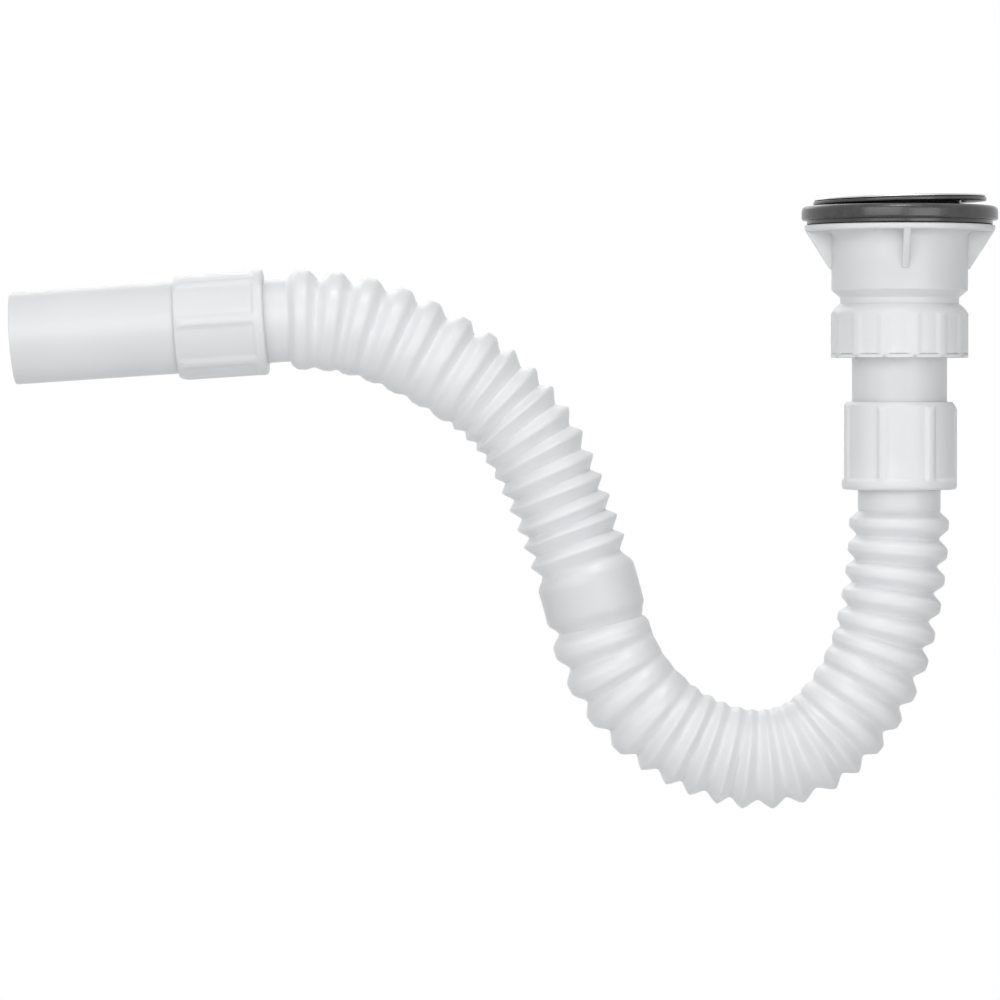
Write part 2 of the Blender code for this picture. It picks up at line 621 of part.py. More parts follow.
def build_tail(white, rubber):
    """The flanged tail tube and the washer above it."""
    washer = [(TUBE_BORE_RADIUS, TAIL_WASHER_TOP - TAIL_WASHER_THICKNESS)]
    washer += [(TAIL_FLANGE_RADIUS, TAIL_WASHER_TOP - TAIL_WASHER_THICKNESS)]
    washer += [(TAIL_FLANGE_RADIUS, TAIL_WASHER_TOP), (TUBE_BORE_RADIUS, TAIL_WASHER_TOP)]
    make_object("tail_washer", revolve(washer), rubber)
    flange_bottom = TAIL_TOP - TAIL_FLANGE_THICKNESS
    thread_top = TAIL_BOTTOM + TAIL_THREAD_LENGTH
    tube = [(TUBE_BORE_RADIUS, TAIL_BOTTOM), (TAIL_THREAD_RADIUS, TAIL_BOTTOM)]
    tube += [(TAIL_THREAD_RADIUS, thread_top), (TAIL_RADIUS, thread_top)]
    tube += [(TAIL_RADIUS, flange_bottom), (TAIL_FLANGE_RADIUS, flange_bottom)]
    tube += [(TAIL_FLANGE_RADIUS, TAIL_TOP), (TUBE_BORE_RADIUS, TAIL_TOP)]
    make_object("tail_tube", revolve(tube), white)


def clamp_nut(clamp, radius, length, lip, rib_height, chamfer, facing):
    """Return a clamp nut: lip towards the pipe at the bottom, flared mouth at the top."""
    bore = clamp.thread_radius + RUNNING_GAP
    throat = PIPE_NECK_RADIUS + RUNNING_GAP
    base = NUT_BASE_HEIGHT + NUT_BASE_SLOPE
    high = length - NUT_CHAMFER_LENGTH
    outline = [(throat, 0.0)]
    outline += rounded_corner(radius - NUT_CORNER, NUT_CORNER, NUT_CORNER, -90.0, 0.0)
    outline += [(radius, NUT_BASE_HEIGHT), (radius, base), (radius, high), (radius - chamfer, length)]
    outline += [(bore, length), (bore, lip), (throat, lip)]
    bm = revolve(outline, 6 * RIB_COUNT)
    raise_ribs(bm, RIB_COUNT, 6, radius, rib_height, facing, base, high)
    return bm


def clamp_ring(clamp):
    """Return the flat slip ring between a nut's lip and its seal."""
    inner = PIPE_NECK_RADIUS + RUNNING_GAP
    top = clamp.ring + CLAMP_RING_THICKNESS
    outline = ((inner, clamp.ring), (clamp.thread_radius, clamp.ring), (clamp.thread_radius, top), (inner, top))
    return revolve(outline)


def clamp_seal(clamp):
    """Return the rubber ring round the pipe's neck, coned towards the tube."""
    inner = PIPE_NECK_RADIUS + RUNNING_GAP
    top = clamp.seal + CLAMP_SEAL_LENGTH
    waist = top - CLAMP_SEAL_CONE
    outline = ((inner, clamp.seal), (clamp.thread_radius, clamp.seal), (clamp.thread_radius, waist),
               (clamp.thread_radius - CLAMP_SEAL_CONE, top), (inner, top))
    return revolve(outline)


def build_upper_clamp(white, rubber):
    """The nut, slip ring and seal at the foot of the tail tube."""
    place = (0.0, 0.0, UPPER_NUT_BOTTOM)
    nut = clamp_nut(UPPER_CLAMP, UPPER_NUT_RADIUS, UPPER_NUT_LENGTH, UPPER_NUT_LIP,
                    UPPER_NUT_RIB_HEIGHT, UPPER_NUT_CHAMFER, UPPER_NUT_FACING)
    make_object("upper_clamp_nut", nut, white, place)
    make_object("upper_clamp_ring", clamp_ring(UPPER_CLAMP), white, place)
    make_object("upper_clamp_seal", clamp_seal(UPPER_CLAMP), rubber, place)


def build_outlet(white, rubber, run_ends):
    """The spigot for the drain and the clamp that joins it to the pipe."""
    knee_place, _ = run_ends[KNEE_AFTER_RUNS - 1]
    place, heading = run_ends[-1]
    tilt = heading - math.pi
    knee = make_empty("pipe_knee", knee_place)
    axis = make_empty("outlet_axis", place, tilt, knee)
    nut = clamp_nut(OUTLET_CLAMP, OUTLET_NUT_RADIUS, OUTLET_NUT_LENGTH, OUTLET_NUT_LIP,
                    OUTLET_NUT_RIB_HEIGHT, OUTLET_NUT_CHAMFER, OUTLET_NUT_FACING)
    make_object("outlet_clamp_nut", nut, white, place, tilt, axis)
    make_object("outlet_clamp_ring", clamp_ring(OUTLET_CLAMP), white, place, tilt, axis)
    make_object("outlet_clamp_seal", clamp_seal(OUTLET_CLAMP), rubber, place, tilt, axis)
    end = OUTLET_NUT_LENGTH + SPIGOT_REACH
    thread_end = OUTLET_CLAMP.tube + SPIGOT_THREAD_LENGTH
    tube = [(TUBE_BORE_RADIUS, OUTLET_CLAMP.tube), (SPIGOT_THREAD_RADIUS, OUTLET_CLAMP.tube)]
    tube += [(SPIGOT_THREAD_RADIUS, thread_end), (SPIGOT_RADIUS, thread_end)]
    tube += [(SPIGOT_RADIUS, end - SPIGOT_END_CHAMFER), (SPIGOT_RADIUS - SPIGOT_END_CHAMFER, end)]
    tube += [(TUBE_BORE_RADIUS, end)]
    make_object("outlet_spigot", revolve(tube), white, place, tilt, axis)


def main():
    """Build every piece of the trap."""
    clear_scene()
    white = make_material("white_polypropylene", WHITE_PLASTIC, 0.38)
    pipe = make_material("pipe_polypropylene", PIPE_PLASTIC, 0.42)
    black = make_material("black_rubber", BLACK_RUBBER, 0.55)
    grey = make_material("grey_rubber", GREY_RUBBER, 0.6)
    steel = make_material("stainless_steel", STEEL, 0.28, 1.0)
    brass = make_material("brass", BRASS, 0.35, 1.0)
    rings, run_ends = pipe_stations()
    build_gaskets(black)
    build_strainer(steel)
    build_screw(steel, brass)
    build_waste_body(white)
    build_union_nut(white)
    build_tail(white, grey)
    build_upper_clamp(white, grey)
    build_bellows(pipe, rings, run_ends)
    build_outlet(white, grey, run_ends)


main()
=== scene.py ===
"""Flexible sink trap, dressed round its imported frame.

Metres, +Z up. The waste's axis is the Z axis, and the pipe lies in the XZ plane.
Every class below holds one sub-assembly with its sizes, builds its meshes round
their own axis, puts them in place and gives them their finish.
"""

import logging
import math
import random
from dataclasses import dataclass, field
from enum import Enum

import bmesh
import bpy
from mathutils import Matrix, Vector


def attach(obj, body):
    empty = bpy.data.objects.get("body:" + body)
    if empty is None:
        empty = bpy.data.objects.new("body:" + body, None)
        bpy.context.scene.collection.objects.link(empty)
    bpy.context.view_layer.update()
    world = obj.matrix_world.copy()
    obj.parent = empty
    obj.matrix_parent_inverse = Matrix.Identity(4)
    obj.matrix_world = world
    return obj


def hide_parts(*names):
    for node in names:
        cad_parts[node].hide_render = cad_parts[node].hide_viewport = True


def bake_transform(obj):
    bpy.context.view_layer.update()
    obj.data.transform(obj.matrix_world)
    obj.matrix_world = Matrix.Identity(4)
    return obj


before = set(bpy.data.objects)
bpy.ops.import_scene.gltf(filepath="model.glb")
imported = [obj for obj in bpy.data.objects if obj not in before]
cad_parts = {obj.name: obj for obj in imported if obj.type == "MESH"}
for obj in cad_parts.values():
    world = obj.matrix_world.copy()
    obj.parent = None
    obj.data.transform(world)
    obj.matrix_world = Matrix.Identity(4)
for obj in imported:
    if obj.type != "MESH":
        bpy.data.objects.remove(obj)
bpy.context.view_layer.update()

LOG = logging.getLogger("sink_trap")

Mesh = bmesh.types.BMesh
Socket = bpy.types.NodeSocket
Triple = tuple[float, float, float]
Outline = list[tuple[float, float]]
Corners = list[Triple]
Value = Socket | float | tuple[float, ...]
Inputs = dict[str | int, Value]

MM = 0.001
FULL_TURN = 2.0 * math.pi
MERGE_DISTANCE = 1e-6
THREAD_SINK = 0.25 * MM


# Mesh tools


class Side(Enum):
    """The pipe's two ends; each has a clamp with a ring and a seal."""

    UPPER = "upper"
    OUTLET = "outlet"


@dataclass(frozen=True)
class Stand:
    """Where a turned piece stands: the point its heights start from, and its tilt about Y."""

    place: Triple = (0.0, 0.0, 0.0)
    tilt: float = 0.0

    def matrix(self) -> Matrix:
        """Return the placing matrix."""
        return Matrix.Translation(self.place) @ Matrix.Rotation(self.tilt, 4, "Y")


def rounded(corners: Corners, steps: int = 4) -> Outline:
    """Round the corners of a closed outline.

    Args:
        corners: (radius, height, fillet in millimetres) for each corner, in order.
        steps: How many pieces each fillet is drawn in.

    Returns:
        The outline's points.
    """
    points: Outline = []
    count = len(corners)
    for index, (radius, height, fillet) in enumerate(corners):
        here = Vector((radius, height))
        if fillet <= 0.0:
            points.append((radius, height))
            continue
        before = Vector(corners[index - 1][:2]) - here
        after = Vector(corners[(index + 1) % count][:2]) - here
        spread = max(before.angle(after), 0.05)
        reach = min(fillet * MM / math.tan(0.5 * spread), 0.48 * min(before.length, after.length))
        start = here + before.normalized() * reach
        end = here + after.normalized() * reach
        for step in range(steps + 1):
            share = step / steps
            point = start.lerp(here, share).lerp(here.lerp(end, share), share)
            points.append((point.x, point.y))
    return points


def lathe(outline: Outline, steps: int) -> Mesh:
    """Spin a closed outline about Z into a solid.

    Args:
        outline: (radius, height) points, in order.
        steps: Facets round the full turn.

    Returns:
        The solid.
    """
    bm = bmesh.new()
    points = [bm.verts.new((radius, 0.0, height)) for radius, height in outline]
    edges = [bm.edges.new(pair) for pair in zip(points, points[1:] + points[:1])]
    bmesh.ops.spin(bm, geom=points + edges, cent=(0.0, 0.0, 0.0), axis=(0.0, 0.0, 1.0),
                   angle=FULL_TURN, steps=steps, use_merge=True, use_duplicate=False)
    bmesh.ops.remove_doubles(bm, verts=bm.verts, dist=MERGE_DISTANCE)
    bmesh.ops.dissolve_degenerate(bm, edges=bm.edges, dist=0.1 * MERGE_DISTANCE)
    return bm


def thread(root: float, crest: float, bottom: float, top: float, pitch: float = 2.3 * MM) -> Mesh:
    """Return a helical thread ridge.

    Args:
        root: Radius of its foot, sunk into the wall that carries it.
        crest: Radius of its top; less than root for a thread in a bore.
        bottom: Height where it starts.
        top: Height where it ends.
        pitch: Rise in one turn.

    Returns:
        The ridge, closed at both ends.
    """
    per_turn = 48
    steps = int((top - bottom - pitch) / pitch * per_turn)
    half = 0.42 * pitch
    flat = 0.10 * pitch
    middle = bottom + 0.5 * pitch
    bm = bmesh.new()
    ring = [bm.verts.new((radius, 0.0, middle + lift)) for radius, lift in
            ((root, -half), (crest, -flat), (crest, flat), (root, half))]
    face = bm.faces.new(ring)
    bmesh.ops.spin(bm, geom=[*ring, *face.edges, face], cent=(0.0, 0.0, 0.0),
                   axis=(0.0, 0.0, 1.0), dvec=(0.0, 0.0, pitch / per_turn),
                   angle=FULL_TURN * steps / per_turn, steps=steps, use_duplicate=False)
    return bm


def plug(low_radius: float, high_radius: float, low: float, high: float,
         place: tuple[float, float]) -> Mesh:
    """Return a cone or cylinder that cuts a hole.

    Args:
        low_radius: Its radius at the lower end.
        high_radius: Its radius at the upper end.
        low: Height of its lower end.
        high: Height of its upper end.
        place: Where its axis stands in plan.

    Returns:
        The solid.
    """
    bm = bmesh.new()
    bmesh.ops.create_cone(bm, cap_ends=True, segments=32, radius1=low_radius, radius2=high_radius,
                          depth=high - low, matrix=Matrix.Translation((*place, 0.5 * (low + high))))
    return bm


def soften(bm: Mesh, width: float) -> None:
    """Bevel every edge that turns by more than 30 degrees.

    Args:
        bm: The mesh.
        width: The bevel's width.
    """
    limit = math.radians(30.0)
    edges = [edge for edge in bm.edges if edge.is_manifold and edge.calc_face_angle() > limit]
    bmesh.ops.bevel(bm, geom=edges, offset=width, offset_type="OFFSET", affect="EDGES",
                    segments=3, profile=0.5, material=-1, clamp_overlap=True)


def face_outwards(bm: Mesh) -> None:
    """Point every face of a closed mesh outwards."""
    bmesh.ops.recalc_face_normals(bm, faces=bm.faces)
    if bm.calc_volume(signed=True) < 0.0:
        bmesh.ops.reverse_faces(bm, faces=bm.faces)


def add_object(name: str, data: Mesh | bpy.types.ID) -> bpy.types.Object:
    """Add an object to the scene.

    Args:
        name: Its name.
        data: A camera, a lamp, or a bmesh, which is turned into a mesh and freed.

    Returns:
        The object.
    """
    if isinstance(data, Mesh):
        mesh = bpy.data.meshes.new(name)
        data.to_mesh(mesh)
        data.free()
        data = mesh
    obj = bpy.data.objects.new(name, data)
    bpy.context.scene.collection.objects.link(obj)
    return obj


def join(parts: list[Mesh]) -> Mesh:
    """Put several meshes into the first one and free the others.

    Args:
        parts: The meshes.

    Returns:
        The first mesh, which now holds them all.
    """
    whole = parts[0]
    for part in parts[1:]:
        mesh = bpy.data.meshes.new("join")
        part.to_mesh(mesh)
        part.free()
        whole.from_mesh(mesh)
        bpy.data.meshes.remove(mesh)
    return whole


def carve(target: Mesh, cutters: Mesh) -> Mesh:
    """Take the cutters away from the target.

    Args:
        target: The solid.
        cutters: One or more closed solids.

    Returns:
        What is left of the target.
    """
    objects = []
    for bm in (target, cutters):
        bmesh.ops.recalc_face_normals(bm, faces=bm.faces)
        objects.append(add_object("carve", bm))
    modifier = objects[0].modifiers.new("carve", "BOOLEAN")
    modifier.operation = "DIFFERENCE"
    modifier.solver = "EXACT"
    modifier.object = objects[1]
    evaluated = objects[0].evaluated_get(bpy.context.evaluated_depsgraph_get())
    result = bmesh.new()
    result.from_mesh(evaluated.to_mesh())
    for obj in objects:
        mesh = obj.data
        bpy.data.objects.remove(obj, do_unlink=True)
        bpy.data.meshes.remove(mesh)
    return result


# Finishes


class NodeSheet:
    """A node tree, with short calls for the nodes used here."""

    def __init__(self, tree: bpy.types.NodeTree, coordinates: str = "Object") -> None:
        """Keep the tree and the coordinates that its textures read."""
        self.tree = tree
        self.place = self.add("TexCoord", output=coordinates)

    def put(self, socket: Socket, value: Value) -> None:
        """Link a result to an input, or set the input's own value."""
        if isinstance(value, Socket):
            self.tree.links.new(value, socket)
        else:
            socket.default_value = value

    def add(self, kind: str, inputs: Inputs | None = None, output: str | int = 0,
            **options: str) -> Socket:
        """Add a node and fill its inputs.

        Args:
            kind: The node's type, after "ShaderNode".
            inputs: A result or a constant for each input that isn't left alone.
            output: Which of its outputs is wanted.
            options: The node's own options.

        Returns:
            The output's socket.
        """
        node = self.tree.nodes.new("ShaderNode" + kind)
        for key, option in options.items():
            setattr(node, key, option)
        for key, value in (inputs or {}).items():
            self.put(node.inputs[key], value)
        return node.outputs[output]

    def noise(self, scale: float, detail: float = 2.0, roughness: float = 0.5,
              stretch: Triple = (1.0, 1.0, 1.0), vector: Socket | None = None) -> Socket:
        """Return a noise value.

        Args:
            scale: Cells for each metre.
            detail: Octaves.
            roughness: How strong the finer octaves are.
            stretch: Scale along each axis.
            vector: Coordinates to read instead of the sheet's.

        Returns:
            The noise's value socket.
        """
        mapped = self.add("Mapping", {"Scale": stretch, "Vector": vector or self.place})
        return self.add("TexNoise", {"Scale": scale, "Detail": detail, "Roughness": roughness,
                                     "Vector": mapped}, "Fac")

    def level(self, value: Socket, low: float, high: float, start: float = 0.35,
              end: float = 0.65) -> Socket:
        """Spread a value between two levels.

        Args:
            value: The socket to read.
            low: Result at start.
            high: Result at end.
            start: Value that gives low.
            end: Value that gives high.

        Returns:
            The result's socket.
        """
        return self.add("MapRange", {"Value": value, "From Min": start, "From Max": end,
                                     "To Min": low, "To Max": high})

    def blend(self, share: Socket, low: Triple | Socket, high: Triple) -> Socket:
        """Mix two colours, the second one at a share of 1."""
        first = low if isinstance(low, Socket) else (*low, 1.0)
        return self.add("Mix", {"Factor": share, "A": first, "B": (*high, 1.0)}, "Result",
                        data_type="RGBA")

    def mix(self, share: Socket, first: Socket, second: Socket) -> Socket:
        """Mix two shaders, the second one at a share of 1."""
        return self.add("MixShader", {0: share, 1: first, 2: second})

    def attribute(self, name: str) -> Socket:
        """Return the value of a mesh's own attribute."""
        return self.add("Attribute", output="Fac", attribute_name=name)

    def along(self, name: str, drift: float) -> Socket:
        """Return coordinates that run along a mesh's attribute and drift a little across it."""
        line = self.add("CombineXYZ", {"X": self.attribute(name)})
        return self.add("VectorMath", {0: self.place, 1: (drift, drift, drift), 2: line},
                        operation="MULTIPLY_ADD")

    def length(self, vector: Socket) -> Socket:
        """Return a vector's length."""
        return self.add("VectorMath", {0: vector}, "Value", operation="LENGTH")

    def feed(self, **values: Value) -> None:
        """Fill the Principled shader's inputs; an underscore stands for a space."""
        shader = self.tree.nodes["Principled BSDF"]
        for key, value in values.items():
            self.put(shader.inputs[key.replace("_", " ")], value)

    def bump(self, *layers: tuple[Socket, float, float]) -> None:
        """Stack bump layers (height, strength, distance), coarsest first, and feed the shader."""
        below = {}
        for height, strength, distance in layers:
            below = {"Normal": self.add("Bump", {"Height": height, "Strength": strength,
                                                 "Distance": distance, **below})}
        self.feed(**below)

    def seen(self) -> Socket:
        """Return 1 for the rays that show the surround: camera, glossy and transmission."""
        rays = self.tree.nodes.new("ShaderNodeLightPath").outputs
        direct = self.add("Math", {0: rays["Is Camera Ray"], 1: rays["Is Glossy Ray"]},
                          operation="MAXIMUM")
        return self.add("Math", {0: direct, 1: rays["Is Transmission Ray"]}, operation="MAXIMUM")

    def surface(self, output: str, shader: Socket) -> None:
        """Link a shader to a new output node."""
        self.put(self.tree.nodes.new(output).inputs["Surface"], shader)


@dataclass(frozen=True)
class Finish:
    """A material's name and the record's slot that it belongs to."""

    name: str = "finish"
    slot: str = "white_plastic"

    def material(self) -> bpy.types.Material:
        """Return the material, made on first use."""
        known = bpy.data.materials.get(self.name)
        if known is not None:
            return known
        material = bpy.data.materials.new(self.name)
        material.use_nodes = True
        self.draw(NodeSheet(material.node_tree))
        return material

    def draw(self, sheet: NodeSheet) -> None:
        """Lay out the nodes; each finish has its own."""
        raise NotImplementedError

    def dress_node(self, name: str) -> None:
        """Give a CAD node this finish through its material slots."""
        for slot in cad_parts[name].material_slots:
            slot.link = "OBJECT"
            slot.material = self.material()


@dataclass(frozen=True)
class WhitePolypropylene(Finish):
    """Satin injection-moulded polypropylene: flow marks and a fine mould grain."""

    name: str = "white_polypropylene_satin"
    colour: Triple = (0.800, 0.808, 0.812)
    shade: Triple = (0.770, 0.780, 0.786)

    def draw(self, sheet: NodeSheet) -> None:
        """Lay out the nodes."""
        flow = sheet.level(sheet.noise(26.0, 3.0, 0.55, (1.0, 1.0, 0.35)), 0.0, 1.0)
        sheet.feed(Base_Color=sheet.blend(flow, self.shade, self.colour),
                   Roughness=sheet.level(sheet.noise(160.0, 3.0), 0.30, 0.40),
                   Subsurface_Weight=0.12, Subsurface_Radius=(1.0, 0.9, 0.8),
                   Subsurface_Scale=0.0014, IOR=1.49)
        sheet.bump((sheet.noise(75.0, 2.0), 0.25, 0.00030),
                   (sheet.noise(1500.0, 2.0), 0.16, 0.00004))


@dataclass(frozen=True)
class PipePolypropylene(Finish):
    """Thin blown polypropylene, milky; painted light makes the fold valleys a little lighter than
    the crests. Greyer on the plain cuff and necks.
    """

    name: str = "pipe_polypropylene_milky"
    slot: str = "pipe_plastic"
    # valley is a little lighter than crest: painted light that lifts the shade in the folds.
    valley: Triple = (0.850, 0.862, 0.868)
    crest: Triple = (0.842, 0.852, 0.856)
    cloud: Triple = (0.800, 0.811, 0.817)
    plain: Triple = (0.735, 0.748, 0.756)

    def draw(self, sheet: NodeSheet) -> None:
        """Lay out the nodes. The fold attribute is 0 to 1 in the folds and up to 2 where plain."""
        fold = sheet.attribute("fold")
        # Painted light: the valleys get a slightly lighter colour than the crests, to lift the
        # shade in the folds.
        base = sheet.blend(sheet.level(fold, 0.0, 1.0, 0.05, 0.80), self.valley, self.crest)
        rings = sheet.along("travel", 0.10)
        streaks = sheet.level(sheet.noise(210.0, 3.0, 0.6, vector=rings), 0.0, 0.5)
        streaked = sheet.blend(streaks, base, self.cloud)
        plain = sheet.level(fold, 0.0, 1.0, 1.0, 2.0)
        sheet.feed(Base_Color=sheet.blend(plain, streaked, self.plain),
                   Roughness=sheet.level(sheet.noise(120.0, 3.0), 0.28, 0.40),
                   Subsurface_Weight=0.20, Subsurface_Radius=(1.0, 0.95, 0.9),
                   Subsurface_Scale=0.0016, IOR=1.49)
        sheet.bump((sheet.noise(70.0, 2.0), 0.45, 0.00060),
                   (sheet.noise(330.0, 3.0, 0.6, vector=rings), 0.16, 0.00030),
                   (sheet.noise(1300.0, 2.0), 0.15, 0.00004))


@dataclass(frozen=True)
class MouldedRubber(Finish):
    """Moulded rubber with a trace of talc."""

    name: str = "black_rubber_moulded"
    slot: str = "black_rubber"
    colour: Triple = (0.014, 0.014, 0.015)
    talc: Triple = (0.034, 0.034, 0.035)

    def draw(self, sheet: NodeSheet) -> None:
        """Lay out the nodes."""
        dust = sheet.level(sheet.noise(180.0, 5.0, 0.65), 0.0, 1.0, 0.48, 0.72)
        sheet.feed(Base_Color=sheet.blend(dust, self.colour, self.talc),
                   Roughness=sheet.level(sheet.noise(90.0, 3.0), 0.20, 0.30),
                   IOR=1.52, Specular_IOR_Level=0.72)
        sheet.bump((sheet.noise(240.0, 3.0), 0.20, 0.00010),
                   (sheet.noise(2600.0, 2.0), 0.15, 0.00003))


@dataclass(frozen=True)
class PressedSteel(Finish):
    """Pressed stainless steel, polished in circles round the waste's axis."""

    name: str = "stainless_steel_pressed"
    slot: str = "steel"
    colour: Triple = (0.62, 0.62, 0.63)
    dull: Triple = (0.54, 0.54, 0.55)

    def draw(self, sheet: NodeSheet) -> None:
        """Lay out the nodes."""
        plan = sheet.add("VectorMath", {0: sheet.place, 1: (1.0, 1.0, 0.0)}, operation="MULTIPLY")
        ring = sheet.add("CombineXYZ", {"X": sheet.length(plan)})
        lines = sheet.noise(5200.0, 4.0, 0.7, vector=ring)
        smear = sheet.noise(55.0, 3.0)
        sheet.feed(Base_Color=sheet.blend(sheet.level(smear, 0.0, 1.0), self.dull, self.colour),
                   Roughness=sheet.level(lines, 0.20, 0.34), Metallic=1.0)
        sheet.bump((smear, 0.10, 0.0003), (lines, 0.12, 0.00003))


@dataclass(frozen=True)
class TurnedBrass(Finish):
    """Turned brass with fine tool marks."""

    name: str = "brass_turned"
    slot: str = "brass"
    colour: Triple = (0.70, 0.53, 0.24)
    dull: Triple = (0.56, 0.41, 0.18)

    def draw(self, sheet: NodeSheet) -> None:
        """Lay out the nodes."""
        tool = sheet.noise(4000.0, 2.0, 0.5, (0.02, 0.02, 1.0))
        tarnish = sheet.level(sheet.noise(300.0, 3.0), 0.0, 1.0)
        sheet.feed(Base_Color=sheet.blend(tarnish, self.dull, self.colour),
                   Roughness=sheet.level(tool, 0.26, 0.42), Metallic=1.0)
        sheet.bump((tool, 0.15, 0.00004))


WHITE = WhitePolypropylene()
SLEEVE_WHITE = WhitePolypropylene(name="white_polypropylene_nut", colour=(0.812, 0.820, 0.824),
                                  shade=(0.785, 0.795, 0.801))
PIPE = PipePolypropylene()
BLACK_RUBBER = MouldedRubber()
GREY_RUBBER = MouldedRubber(name="grey_rubber_moulded", slot="seal_rubber",
                            colour=(0.15, 0.15, 0.16), talc=(0.24, 0.24, 0.25))
STEEL = PressedSteel()
BRASS = TurnedBrass()


def make_piece(name: str, parts: list[Mesh], finish: Finish, node: str, body: str | None,
               sharp_deg: float = 38.0, stand: Stand = Stand()) -> bpy.types.Object:
    """Make one object of some closed meshes, put it in place and dress it.

    Args:
        name: The object's name.
        parts: Its meshes. They are freed.
        finish: Its finish.
        node: The CAD node that it stands for.
        body: The body that it rides, or None to leave it attached to no body.
        sharp_deg: Edges that turn by more than this stay sharp.
        stand: Where the meshes go.

    Returns:
        The object.
    """
    for part in parts:
        face_outwards(part)
    bm = join(parts)
    bmesh.ops.transform(bm, matrix=stand.matrix(), verts=bm.verts)
    obj = add_object(name, bm)
    obj.data.shade_smooth()
    obj.data.set_sharp_from_angle(angle=math.radians(sharp_deg))
    obj.data.materials.append(finish.material())
    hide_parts(node)
    if body is not None:
        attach(obj, body)
    LOG.info("%s: %d faces, for %s", name, len(obj.data.polygons), node)
    return obj


# Sink waste


